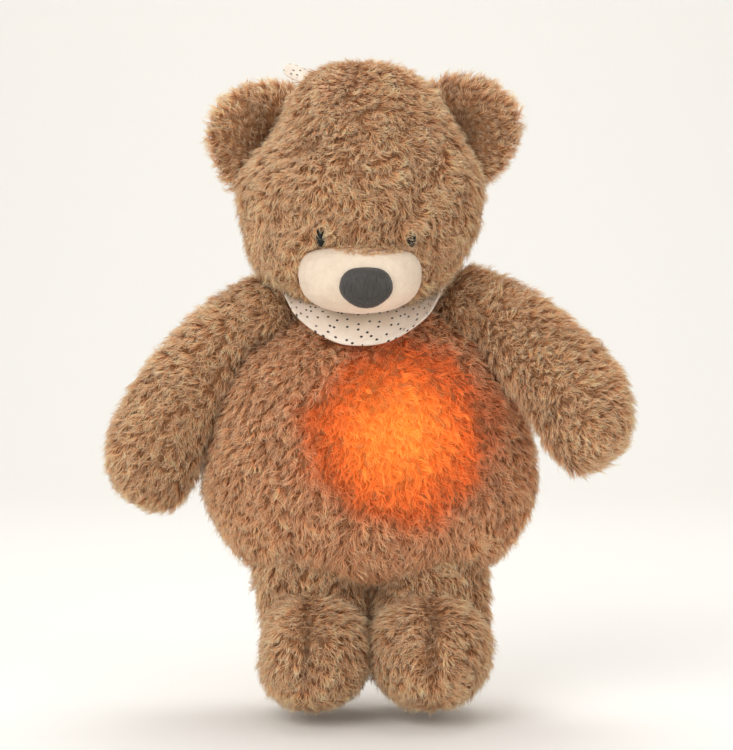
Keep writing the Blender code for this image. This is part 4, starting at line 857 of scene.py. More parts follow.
    def build(self, name: str, rings: list[Rows], across: Rows, shade: Rows, glow: Rows) -> bpy.types.Object:
        """Build one piece of pile as closed, tapered, three-sided fibres.

        Args:
            name: The piece's name.
            rings: The fibres' places at each step from root to tip.
            across: A sideways direction for each fibre.
            shade: The tone of each fibre.
            glow: The lamp's light on each fibre.

        Returns:
            The piece.
        """
        count = len(shade)
        points = np.empty((count, 10, 3))
        for step, taper in enumerate(self.TAPER):
            along = unit(rings[step + 1] - rings[step])
            upward = np.cross(along, across)
            for corner in range(3):
                angle = math.tau * corner / 3
                out = across * math.cos(angle) + upward * math.sin(angle)
                points[:, step * 3 + corner] = rings[step] + out * self.radius * taper
        points[:, 9] = rings[3]
        template: list[tuple[int, int, int]] = [(0, 2, 1)]
        map_rows: list[tuple[tuple[float, float], ...]] = [((0, 0.0), (2, 0.0), (1, 0.02))]
        for step in range(2):
            low, high = self.PLACES[step], self.PLACES[step + 1]
            for corner in range(3):
                after = (corner + 1) % 3
                a, b = step * 3 + corner, step * 3 + after
                template += [(a, b, b + 3), (a, b + 3, a + 3)]
                map_rows += [
                    ((corner, low), (corner + 1, low), (corner + 1, high)),
                    ((corner, low), (corner + 1, high), (corner, high)),
                ]
        for corner in range(3):
            template.append((6 + corner, 6 + (corner + 1) % 3, 9))
            map_rows.append(((corner, self.PLACES[2]), (corner + 1, self.PLACES[2]), (corner + 0.5, 1.0)))
        faces = np.array(template)[None] + np.arange(count)[:, None, None] * 10
        mesh = bpy.data.meshes.new(name)
        mesh.vertices.add(count * 10)
        mesh.vertices.foreach_set("co", points.ravel())
        mesh.loops.add(faces.size)
        mesh.loops.foreach_set("vertex_index", faces.ravel().astype(np.int32))
        mesh.polygons.add(faces.shape[0] * faces.shape[1])
        mesh.polygons.foreach_set("loop_start", np.arange(0, faces.size, 3, dtype=np.int32))
        mesh.update(calc_edges=True)
        mesh.shade_smooth()
        tips = np.tile(np.repeat(self.PLACES[:3], 3).tolist() + [1.0], count)
        for label, values in (("tip", tips), ("shade", np.repeat(shade, 10)), ("glow", np.repeat(glow, 10))):
            mesh.attributes.new(label, "FLOAT", "POINT").data.foreach_set("value", values.astype(np.float32))
        flat = np.array(map_rows)
        column = glow * 0.94 + 0.03 if glow.max() > 0.5 else shade
        places = np.empty((count, len(template), 3, 2))
        places[..., 0] = column[:, None, None] + (flat[None, :, :, 0] - 1.5) * self.MAP_WIDTH
        places[..., 1] = flat[None, :, :, 1] * 0.96 + 0.02
        layer = mesh.uv_layers.new(name="OFBake")
        layer.data.foreach_set("uv", np.clip(places, 0, 1).ravel().astype(np.float32))
        piece = collect(bpy.data.objects.new(name, mesh))
        Shop.acrylic.dress(piece)
        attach(piece, self.body)
        return piece


def sewn(piece: bpy.types.Object, finish: Finish, node: str, body: str) -> None:
    """Dress a piece and declare what it is.

    Args:
        piece: The piece.
        finish: Its finish.
        node: The node that it stands for.
        body: The body that carries it.
    """
    finish.dress(piece)
    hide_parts(node)
    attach(piece, body)
    LOG.info("%s: stands for %s on body %s", piece.name, node, body)


def stitch_row(
    name: str, path: Sequence[Vector], normals: Sequence[Vector], length: float, gap: float, radius: float
) -> bpy.types.Object:
    """Lay a row of stitches along a path, each a short thread that dips into the cloth at its ends.

    Args:
        name: The row's name.
        path: Places along the seam.
        normals: The cloth's outward direction at each place.
        length: Length of one stitch.
        gap: Cloth between two stitches.
        radius: The thread's radius.

    Returns:
        One piece with all the stitches.
    """
    steps = [(after - before).length for before, after in zip(path, path[1:])]
    lengths = np.concatenate(([0.0], np.cumsum(steps)))
    route = np.array([tuple(point) for point in path])
    facing = np.array([tuple(normal) for normal in normals])
    sides, rings = 6, 5
    points: list[Rows] = []
    faces: list[tuple[int, ...]] = []
    start = gap / 2
    while start + length < lengths[-1]:
        base = len(points)
        for ring in range(rings):
            share = ring / (rings - 1)
            at = start + length * share
            centre = np.array([np.interp(at, lengths, route[:, axis]) for axis in range(3)])
            out = unit(np.array([[np.interp(at, lengths, facing[:, axis]) for axis in range(3)]]))[0]
            ahead = np.array([np.interp(at + 0.1 * MM, lengths, route[:, axis]) for axis in range(3)]) - centre
            ahead /= max(np.linalg.norm(ahead), 1e-9)
            beside = np.cross(ahead, out)
            bulge = math.sin(math.pi * share)
            centre = centre + out * radius * (1.5 * bulge - 0.9)
            size = radius * (0.55 + 0.45 * bulge)
            for corner in range(sides):
                angle = math.tau * corner / sides
                points.append(centre + (beside * math.cos(angle) + out * math.sin(angle)) * size)
        for ring in range(rings - 1):
            for corner in range(sides):
                a, b = base + ring * sides + corner, base + ring * sides + (corner + 1) % sides
                faces.append((a, b, b + sides, a + sides))
        faces.append(tuple(base + corner for corner in reversed(range(sides))))
        faces.append(tuple(base + (rings - 1) * sides + corner for corner in range(sides)))
        start += length + gap
    piece = mesh_piece(name, np.array(points), faces)
    Shop.white_thread.dress(piece)
    return piece


def fall(points: Rows, normals: Rows) -> Rows:
    """Pile that lies downwards."""
    return np.tile((0.0, -0.15, -1.0), (len(points), 1))


@dataclass
class Lamp:
    """Where the lamp's light comes through the belly, and how it fades."""

    centre: Vector
    core: float = 13 * MM
    reach: float = 57 * MM
    spread: float = 0.12
    spread_reach: float = 95 * MM

    def share(self, points: Rows, normals: Rows) -> Rows:
        """The light that reaches each place on the belly's front, from 0 to 1.

        Args:
            points: Places, one a row.
            normals: The skin's outward direction at each place.

        Returns:
            One value for each place.
        """
        across = np.hypot(points[:, 0] - self.centre.x, points[:, 2] - self.centre.z)
        ragged = across * (1 + 0.07 * drift(points, 18 * MM, 51))
        fade = np.clip((self.reach - ragged) / (self.reach - self.core), 0, 1)
        front = np.clip(-normals[:, 1] * 3, 0, 1)
        spread = self.spread * np.exp(-(across / self.spread_reach) ** 2)
        return (fade * fade * (3 - 2 * fade) * (1 - self.spread) + spread) * front


@dataclass
class Head:
    """The stuffed head with its ears."""

    ear_cup: float = 16 * MM
    ear_reach_in: float = 12 * MM
    ear_level: float = -17 * MM
    ear_span: float = 31 * MM
    pinch_left: float = 0.22
    pinch_right: float = 0.1
    ear_lobe_left: float = 5 * MM
    ear_lobe_right: float = 1 * MM
    cheek_level: float = -87 * MM
    cheek_span: float = 19 * MM
    cheek_left: float = 0.07
    cheek_right: float = -0.01
    crown_drop: float = 3.5 * MM
    crown_place: float = -41 * MM
    crown_span: float = 22 * MM
    jaw_level: float = -84 * MM
    jaw_span: float = 14 * MM
    jaw_longer: float = 0.5
    lash_left: float = 6.4 * MM
    lash_right: float = 10 * MM
    lash_beside: tuple[float, float] = (2.2 * MM, 6.5 * MM)
    lash_rise: tuple[float, float] = (-4 * MM, 9 * MM)
    lash_above: tuple[float, float] = (5 * MM, 9 * MM)
    lash_half: float = 3 * MM
    # Painted highlight on the pile between the eyes, over the muzzle.
    brow_painted_highlight: float = 0.2
    brow_half: float = 21 * MM
    flow_span: float = 60 * MM
    flow_out: float = 0.7
    brow_span: float = 10 * MM
    cup_shorter: float = 0.35
    # Painted shade in each ear's cup, deeper for the right ear.
    cup_painted_shade_left: float = 0.5
    cup_painted_shade_right: float = 0.6

    def build(self) -> None:
        """Skin and pile of the head, then of each ear."""
        skin = smooth_skin("head", "head_backing")
        reshape(skin, self.shaped)
        self.finish(skin, "head")
        Pile(
            "head_pile", skin, ("head",), self.head_flow, "head", length=7.8 * MM, seed=11, bare=0.5 * MM,
            crowd=("hanging_strap", "strap_loop_pad"), lock_turn=math.radians(30), swirl=math.radians(52),
            swirl_wave=22 * MM, length_share=self.jaw, tone=self.brow,
        ).grow()
        for side in ("left", "right"):
            self.lash(side, skin)
            self.ear(side)

    def shaped(self, points: Rows, normals: Rows) -> Rows:
        """Draw the skin in where the ears are sewn on, and fill the cheeks.

        Args:
            points: Places, one a row.
            normals: The skin's outward direction at each place.

        Returns:
            The new places.
        """
        low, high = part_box("head")
        middle = (low.x + high.x) / 2
        height, out = points[:, 2], points[:, 0] - middle
        pinch = np.where(out < 0, self.pinch_left, self.pinch_right)
        cheek = np.where(out < 0, self.cheek_left, self.cheek_right)
        moved = points.copy()
        moved[:, 0] = middle + out * (
            1 - pinch * hill(height, self.ear_level, self.ear_span)
            + cheek * hill(height, self.cheek_level, self.cheek_span)
        )
        crown = self.crown_drop * hill(points[:, 0], self.crown_place, self.crown_span)
        moved[:, 2] -= crown * np.clip(normals[:, 2], 0, 1)
        return moved

    def jaw(self, points: Rows, normals: Rows) -> Rows:
        """Longer pile along the jaw, where it hangs over the neckerchief."""
        return 1 + self.jaw_longer * np.clip((self.jaw_level - points[:, 2]) / self.jaw_span, 0, 1)

    def lash(self, side: str, skin: bpy.types.Object) -> None:
        """Sparse pile that lies across one eye, from its inner side and from above.

        Args:
            side: Which eye.
            skin: The head's skin, which it grows from.
        """
        low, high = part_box(f"eye_{side}")
        eye = (low + high) / 2
        inward = 1 if side == "left" else -1
        length = self.lash_left if side == "left" else self.lash_right

        def beside(points: Rows, normals: Rows) -> Rows:
            """Where these fibres are rooted.

            Args:
                points: Places, one a row.
                normals: The skin's outward direction at each place.

            Returns:
                Above a half where the pile grows, for each place.
            """
            inner, rise = (points[:, 0] - eye.x) * inward, points[:, 2] - eye.z
            near = (inner > self.lash_beside[0]) & (inner < self.lash_beside[1])
            near &= (rise > self.lash_rise[0]) & (rise < self.lash_rise[1])
            above = (np.abs(inner) < self.lash_half) & (side == "right")
            above &= (rise > self.lash_above[0]) & (rise < self.lash_above[1])
            return (near | above) & (normals[:, 1] < -0.2)

        def across(points: Rows, normals: Rows) -> Rows:
            """Pile that lies outwards and down, over the eye."""
            return np.tile((-0.9 * inward, -0.1, -0.6), (len(points), 1))

        Pile(
            f"lash_pile_{side}", skin, ("head",), across, "head", length=length, seed=14 + inward, bare=0.2 * MM,
            density=80e4 if side == "left" else 300e4, keep=beside, root_lift=math.radians(62),
            lock_turn=math.radians(20), swirl=0.0,
        ).grow()

    def brow(self, points: Rows, normals: Rows) -> Rows:
        """Painted highlight: the paler tone of the pile between the eyes, just over the muzzle.

        Args:
            points: Places, one a row.
            normals: The skin's outward direction at each place.

        Returns:
            One value for each place.
        """
        muzzle_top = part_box("muzzle")[1].z
        between = hill(points[:, 0], Face.fringe_middle, self.brow_half) * (normals[:, 1] < 0)
        return self.brow_painted_highlight * between * hill(points[:, 2], muzzle_top, self.brow_span)

    def head_flow(self, points: Rows, normals: Rows) -> Rows:
        """Pile that lies down and outwards from the middle of the face.

        Args:
            points: Places, one a row.
            normals: The skin's outward direction at each place; not used.

        Returns:
            A direction for each place.
        """
        low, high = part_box("head")
        middle = np.array((low + high) / 2)
        flow = np.tile((0.0, -0.1, -0.75), (len(points), 1))
        flow[:, 0] += (points[:, 0] - middle[0]) / self.flow_span * self.flow_out
        return flow

    def ear(self, side: str) -> None:
        """Skin and pile of one ear, short in its cup, with painted shade there.

        Args:
            side: Either left or right.
        """
        node = f"ear_{side}"
        skin = smooth_skin(node, f"{node}_backing", 1.6 * MM, 6)
        low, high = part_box(node)
        centre = np.array((low + high) / 2)
        head = np.array(sum(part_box("head"), Vector()) / 2)
        inward = math.copysign(1, head[0] - centre[0])
        outer_edge = low.x if inward > 0 else high.x

        def widened(points: Rows, normals: Rows) -> Rows:
            """Stretch the ear's root into the head's drawn-in side, and its lobe down.

            Args:
                points: Places, one a row.
                normals: The skin's outward direction at each place; not used.

            Returns:
                The new places.
            """
            moved = points.copy()
            moved[:, 0] += inward * self.ear_reach_in * np.abs(points[:, 0] - outer_edge) / (high.x - low.x)
            lobe = self.ear_lobe_left if side == "left" else self.ear_lobe_right
            moved[:, 2] -= lobe * np.clip((centre[2] - points[:, 2]) / (high.z - low.z) * 2, 0, 1)
            return moved

        reshape(skin, widened)
        self.finish(skin, node)

        def outward(points: Rows, normals: Rows) -> Rows:
            """Pile that lies from the ear's root to its rim."""
            return points - centre + unit((centre - head)[None])[0] * 22 * MM

        def cup(points: Rows, normals: Rows) -> Rows:
            """How deep in the ear's cup a place lies, from 0 to 1."""
            far = np.hypot(points[:, 0] - centre[0] - inward * 10 * MM, points[:, 2] - centre[2] + 3 * MM)
            return np.clip(1.7 - far / self.ear_cup, 0, 1) * (normals[:, 1] < -0.2)

        def shorter(points: Rows, normals: Rows) -> Rows:
            """Shorter pile in the cup."""
            return 1 - self.cup_shorter * cup(points, normals)

        def darker(points: Rows, normals: Rows) -> Rows:
            """Painted shade: darker pile in the cup, and more so where the lamps reach less."""
            return 0.06 - (self.cup_painted_shade_left if side == "left" else self.cup_painted_shade_right) * cup(points, normals)

        # The tone darker paints shade in the ear's cup.
        Pile(
            f"{node}_pile", skin, (node, "head"), outward, "head", length=7.4 * MM, seed=21 + len(side),
            length_share=shorter, tone=darker, lock_turn=math.radians(22),
        ).grow()

    @staticmethod
    def finish(skin: bpy.types.Object, node: str) -> None:
        """Backing, body and declaration of one skin."""
        sewn(skin, Shop.backing, node, "head")


@dataclass
class Face:
    """Muzzle, nose and eyes."""

    thread_pitch: float = 1.3 * MM
    thread_height: float = 0.05 * MM
    muzzle_rise: float = 1.4 * MM
    nose_rise: float = 1.9 * MM
    eye_sink_left: float = 1.3 * MM
    eye_sink_right: float = 2.4 * MM
    fringe_middle: float = 1.5 * MM
    fringe_half: float = 18 * MM
    # Painted highlight on the fringe over the muzzle.
    fringe_painted_highlight: float = 0.16

    def build(self) -> None:
        """Build the velour muzzle, the satin-stitched nose and the eyes."""
        muzzle = smooth_skin("muzzle", "muzzle_velour", 1.2 * MM, 10)
        reshape(muzzle, self.raised)
        sewn(muzzle, Shop.velour, "muzzle", "head")
        Pile(
            "brow_pile", muzzle, ("muzzle", "head"), self.forward, "head", length=3.6 * MM, seed=12, density=300e4,
            keep=self.fringe, root_lift=math.radians(32), tip_lift=math.radians(8), lock_turn=math.radians(16),
            swirl=0.0, gather=0.3, curl=0.1, tone=self.sunlit,
        ).grow()
        self.embroidery("nose", Shop.charcoal, 0.3, 0.26, Vector((0, 0, self.nose_rise)))
        for node, sink in (("eye_left", self.eye_sink_left), ("eye_right", self.eye_sink_right)):
            self.embroidery(node, Shop.ink_thread, 0.0, 0.0, Vector((0, sink, 0)))

    def raised(self, points: Rows, normals: Rows) -> Rows:
        """The muzzle, sewn a little higher than its node."""
        return points + np.array((0.0, 0.0, self.muzzle_rise))

    def fringe(self, points: Rows, normals: Rows) -> Rows:
        """Where the fringe over the muzzle's upper edge grows.

        Args:
            points: Places, one a row.
            normals: The skin's outward direction at each place.

        Returns:
            Above a half where the pile grows, for each place.
        """
        aside = np.abs(points[:, 0] - self.fringe_middle) / self.fringe_half
        ragged = aside + 0.16 * drift(points, 8 * MM, 17)
        return (ragged < 1) & (normals[:, 2] > 0.78 + 0.17 * aside * aside)

    def sunlit(self, points: Rows, normals: Rows) -> Rows:
        """Painted highlight: the fringe's paler tone."""
        return np.full(len(points), self.fringe_painted_highlight)

    def forward(self, points: Rows, normals: Rows) -> Rows:
        """Pile that lies forwards and down."""
        return np.tile((0.0, -1.0, -1.0), (len(points), 1))

    def embroidery(self, node: str, finish: Thread, broad: float, narrow: float, shift: Vector) -> None:
        """A satin-stitched patch: raised threads that lie side by side, top to bottom.

        Args:
            node: The node that the patch stands for.
            finish: Its thread.
            broad: How much wider the top is than an oval's.
            narrow: How much narrower the foot is than an oval's.
            shift: How far from its node it is sewn.
        """
        patch = smooth_skin(node, f"{node}_satin_stitch", 0.3 * MM, 14)
        low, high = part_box(node)
        middle = (low + high) / 2
        half = (high.z - low.z) / 2

        def stitched(points: Rows, normals: Rows) -> Rows:
            """Taper the outline and raise the threads.

            Args:
                points: Places, one a row.
                normals: The skin's outward direction at each place.

            Returns:
                The new places.
            """
            rise = (points[:, 2] - middle.z) / half
            share = 1 + broad * np.clip(rise, 0, 1) ** 3 - narrow * np.clip(-rise, 0, 1) ** 2
            moved = points.copy()
            moved[:, 0] = middle.x + (points[:, 0] - middle.x) * share
            ridge = np.cos(math.tau * moved[:, 0] / self.thread_pitch)
            moved[:, 1] -= self.thread_height * ridge * np.clip(-normals[:, 1], 0, 1)
            return moved + np.array(shift)

        reshape(patch, stitched)
        sewn(patch, finish, node, "head")


@dataclass
class Strap:
    """The hanging strap: a folded cotton band with stitched edges, round the rail and up again."""

    rail_height: float = 59 * MM
    rail_depth: float = 22 * MM
    rail_corner: float = 3 * MM
    width: float = 16 * MM
    thickness: float = 1.5 * MM
    drift: float = 24 * MM
    sewn_drop: float = 54 * MM
    sewn_length: float = 12 * MM
    bridge: float = 14 * MM
    bend_drop: float = 4 * MM
    bend_radius: float = 18 * MM
    bend_angle: float = math.radians(64)
    free_length: float = 9.5 * MM
    cap_length: float = 5.5 * MM
    free_twist: float = math.radians(58)
    clearance: float = 0.3 * MM
    edge_steps: int = 6
    seam_inset: float = 1.9 * MM

    def route(self) -> list[tuple[Vector, Vector]]:
        """The band's middle line and its sideways direction, from the sewn end to the free end.

        Returns:
            Pairs of a place and a direction.
        """
        half = 0.8 * MM
        front = -self.rail_depth / 2 - half
        corner = self.rail_corner + half
        start_x = self.drift * (self.rail_depth / 2) / (2 * self.rail_depth + self.rail_height)
        head_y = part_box("head")[1].y + self.clearance + half
        across = Vector((1, 0, 0))
        route = [
            (Vector((start_x, head_y, -self.sewn_drop + self.sewn_length * share)), across)
            for share in np.linspace(0, 1, 5)
        ]
        for share in np.linspace(0, 1, 11)[1:]:
            ease = share * share * (3 - 2 * share)
            z = -self.sewn_drop + self.sewn_length + self.bridge * share
            route.append((Vector((start_x, head_y + (front - head_y) * ease, z)), across))
        inner = self.rail_depth / 2 - self.rail_corner
        loop = []
        for y, z, first in (
            (-inner, -self.rail_corner, math.pi),
            (inner, -self.rail_corner, math.pi / 2),
            (inner, self.rail_corner - self.rail_height, 0.0),
            (-inner, self.rail_corner - self.rail_height, -math.pi / 2),
        ):
            for angle in np.linspace(first, first - math.pi / 2, 7):
                loop.append(Vector((0, y + corner * math.cos(angle), z + corner * math.sin(angle))))
        lengths = np.concatenate(([0.0], np.cumsum([(b - a).length for a, b in zip(loop, loop[1:])])))
        for point, length in zip(loop, lengths):
            point.x = start_x - self.drift * length / lengths[-1]
            route.append((point, across))
        tail_x = start_x - self.drift
        rise = self.rail_height - self.rail_corner - self.bend_drop
        for share in np.linspace(0, 1, 9)[1:]:
            z = self.rail_corner - self.rail_height + rise * share
            route.append((Vector((tail_x, front, z)), across))
        for angle in np.linspace(0, self.bend_angle, 10)[1:]:
            x = tail_x - self.bend_radius * (1 - math.cos(angle))
            z = -self.bend_drop + self.bend_radius * math.sin(angle)
            twist = self.free_twist * angle / self.bend_angle
            flat = Vector((math.cos(angle), 0, math.sin(angle))) * math.cos(twist)
            route.append((Vector((x, front, z)), flat + Vector((0, math.sin(twist), 0))))
        last, side = route[-1]
        ahead = self.ahead()
        for share in (0.5, 1.0):
            route.append((last + ahead * self.free_length * share, side))
        return route

    def ahead(self) -> Vector:
        """The direction of the band's free end."""
        return Vector((-math.sin(self.bend_angle), 0, math.cos(self.bend_angle)))

    def build(self) -> None:
        """Build the band, its edge stitches and the finish of its pads."""
        route = self.route()
        last, side = route[-1]
        ahead = self.ahead()
        half_width = self.width / 2
        widths = [half_width] * len(route)
        for angle in np.linspace(0, math.pi / 2, 8)[1:]:
            route.append((last + ahead * self.cap_length * math.sin(angle), side))
            widths.append(max(half_width * math.cos(angle) ** 0.7, 0.3 * MM))
        places = [point for point, _ in route]
        ways = []
        for index in range(len(places)):
            before, after = places[max(index - 1, 0)], places[min(index + 1, len(places) - 1)]
            ways.append((after - before).normalized())
        section = 4 * self.edge_steps
        points, faces = [], []
        total = 0.0
        runs = []
        for index, ((point, across), width) in enumerate(zip(route, widths)):
            total += (point - places[index - 1]).length if index else 0.0
            runs.append(total)
            out = ways[index].cross(across).normalized()
            for step in range(section):
                angle = math.tau * step / section
                x = math.copysign(abs(math.cos(angle)) ** 0.3, math.cos(angle))
                y = math.copysign(abs(math.sin(angle)) ** 0.8, math.sin(angle))
                points.append(point + across * width * x + out * self.thickness / 2 * y)
        for ring in range(len(route) - 1):
            for step in range(section):
                a, b = ring * section + step, ring * section + (step + 1) % section
                faces.append((a, b, b + section, a + section))
        faces.append(tuple(range(section)))
        faces.append(tuple((len(route) - 1) * section + step for step in range(section)))
        band = mesh_piece("hanging_strap_cotton", np.array([tuple(p) for p in points]), faces)
        layer = band.data.uv_layers.new(name=Where.CLOTH_MAP.value)
        for loop in band.data.loops:
            ring, step = divmod(loop.vertex_index, section)
            turn = math.cos(math.tau * step / section)
            u = widths[ring] * math.copysign(abs(turn) ** 0.3, turn) + self.width * (step > section // 2) * 3
            layer.data[loop.index].uv = (u, runs[ring])
        sewn(band, Shop.cotton, "hanging_strap", "head")
        rows = []
        for face_side in (-1, 1):
            for edge in (-1, 1):
                seam, facing = [], []
                for index, ((point, across), width) in enumerate(zip(route, widths)):
                    out = ways[index].cross(across).normalized() * face_side
                    seam.append(point + across * edge * max(width - self.seam_inset, 0) + out * self.thickness / 2)
                    facing.append(out)
                row = stitch_row(
                    f"strap_stitches_{len(rows) + 1}", seam[:-1], facing[:-1], 2.6 * MM, 1.1 * MM, 0.3 * MM
                )
                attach(row, "head")
                rows.append(row)
        Shop.hook_tape.dress(frame["nodes"]["strap_hook_pad"])
        Shop.loop_tape.dress(frame["nodes"]["strap_loop_pad"])
        LOG.info("strap: %.0f mm long", total / MM)


@dataclass
class Neckerchief:
    """The dotted neckerchief with its turned hem and soft folds."""

    side_reach: float = 41 * MM
    side_shift: float = -3.2 * MM
    front_reach: float = 45.5 * MM
    back_reach: float = 34.5 * MM
    neck_reach: float = 27.2 * MM
    neck_z: float = -109.6 * MM
    neck_lift: float = 7 * MM
    side_z: float = -99.2 * MM
    front_z: float = -128.2 * MM
    back_z: float = -106.5 * MM
    thickness: float = 1.1 * MM
    hem_share: float = 0.88
    hem_power: float = 1.4
    steps_round: int = 168
    steps_down: int = 16
    square_share: float = 0.6
    flat: tuple[float, float] = (240 * MM, 45 * MM)
    pattern_radius: float = 38 * MM
    pattern_depth: float = 27 * MM

    def middle(self, around: float, down: float) -> Vector:
        """A point of the cloth's middle, from its turn round the neck and its share down to the hem.

        Args:
            around: The turn round the neck, from the front.
            down: The share of the way down to the hem.

        Returns:
            The point, before it moves to the neck.
        """
        front, back = max(0.0, math.cos(around)), max(0.0, -math.cos(around))
        side = math.sin(around)
        reach = self.front_reach if front else self.back_reach
        end = self.front_z if front else self.back_z
        hem_z = self.side_z + (end - self.side_z) * (front + back) ** self.hem_power
        ahead = front ** self.square_share - back ** self.square_share
        hem = Vector((self.side_reach * side + self.side_shift * (1 - back), -reach * ahead, hem_z))
        neck_z = self.neck_z + self.neck_lift * side * side
        neck = Vector((self.neck_reach * side, -self.neck_reach * math.cos(around), neck_z))
        point = neck.lerp(hem, down)
        belly = math.sin(math.pi * down) * (1.6 + 1.8 * front) * MM
        outward = Vector((side, -math.cos(around), 0.35)).normalized()
        folds = math.sin(7 * around + 0.8) + 0.6 * math.sin(13 * around + 2.1)
        ripple = 0.75 * MM * folds * down * (0.35 + 0.65 * front)
        return point + outward * (belly + ripple)

    def build(self) -> None:
        """Build the cloth with a doubled hem, its stitches and its dots."""
        neck = next(joint for joint in frame["joints"] if joint["name"] == "neck_nod")["pos_m"]
        shift = Vector((neck[0], neck[1], 0))
        turns = np.linspace(0, math.tau, self.steps_round, endpoint=False)
        shares = np.linspace(0, 1, self.steps_down + 1)
        middle = np.array([[tuple(self.middle(t, s) + shift) for t in turns] for s in shares])
        along = np.roll(middle, -1, axis=1) - np.roll(middle, 1, axis=1)
        down = np.gradient(middle, axis=0)
        normals = np.cross(down, along)
        normals /= np.linalg.norm(normals, axis=2, keepdims=True)
        if normals[self.steps_down // 2, 0, 1] > 0:
            normals = -normals
        thick = np.where(shares > self.hem_share, 1.25, 1.0) * self.thickness / 2
        outer = middle + normals * thick[:, None, None]
        inner = middle - normals * thick[:, None, None]
        rows, steps = self.steps_down + 1, self.steps_round
        points = np.concatenate((outer.reshape(-1, 3), inner.reshape(-1, 3)))
        faces = []
        for row in range(rows - 1):
            for step in range(steps):
                after = (step + 1) % steps
                a, b = row * steps + step, row * steps + after
                c, d = a + steps, b + steps
                faces += [(a, b, d, c), (rows * steps + a, rows * steps + c, rows * steps + d, rows * steps + b)]
        for row in (0, rows - 1):
            for step in range(steps):
                a, b = row * steps + step, row * steps + (step + 1) % steps
                faces.append((a, b, rows * steps + b, rows * steps + a))
        cloth = mesh_piece("neckerchief_cotton", points, faces)
        layer = cloth.data.uv_layers.new(name=Where.CLOTH_MAP.value)
        for face in cloth.data.polygons:
            columns = [cloth.data.loops[i].vertex_index % steps for i in face.loop_indices]
            wraps = max(columns) - min(columns) > steps / 2
            for index in face.loop_indices:
                vertex = cloth.data.loops[index].vertex_index
                column = vertex % steps
                column += steps if wraps and column < steps / 2 else 0
                row = vertex % (rows * steps) // steps
                turn = column / steps * math.tau
                layer.data[index].uv = (turn * self.pattern_radius, shares[row] * self.pattern_depth)
        sewn(cloth, Shop.cotton, "neckerchief", "torso")
        row = int(self.hem_share * self.steps_down)
        ring = list(range(steps)) + [0]
        seam = [Vector(outer[row, step]) for step in ring]
        facing = [Vector(normals[row, step]) for step in ring]
        stitches = stitch_row("neckerchief_hem_stitches", seam, facing, 2.4 * MM, 1.2 * MM, 0.2 * MM)
        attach(stitches, "torso")


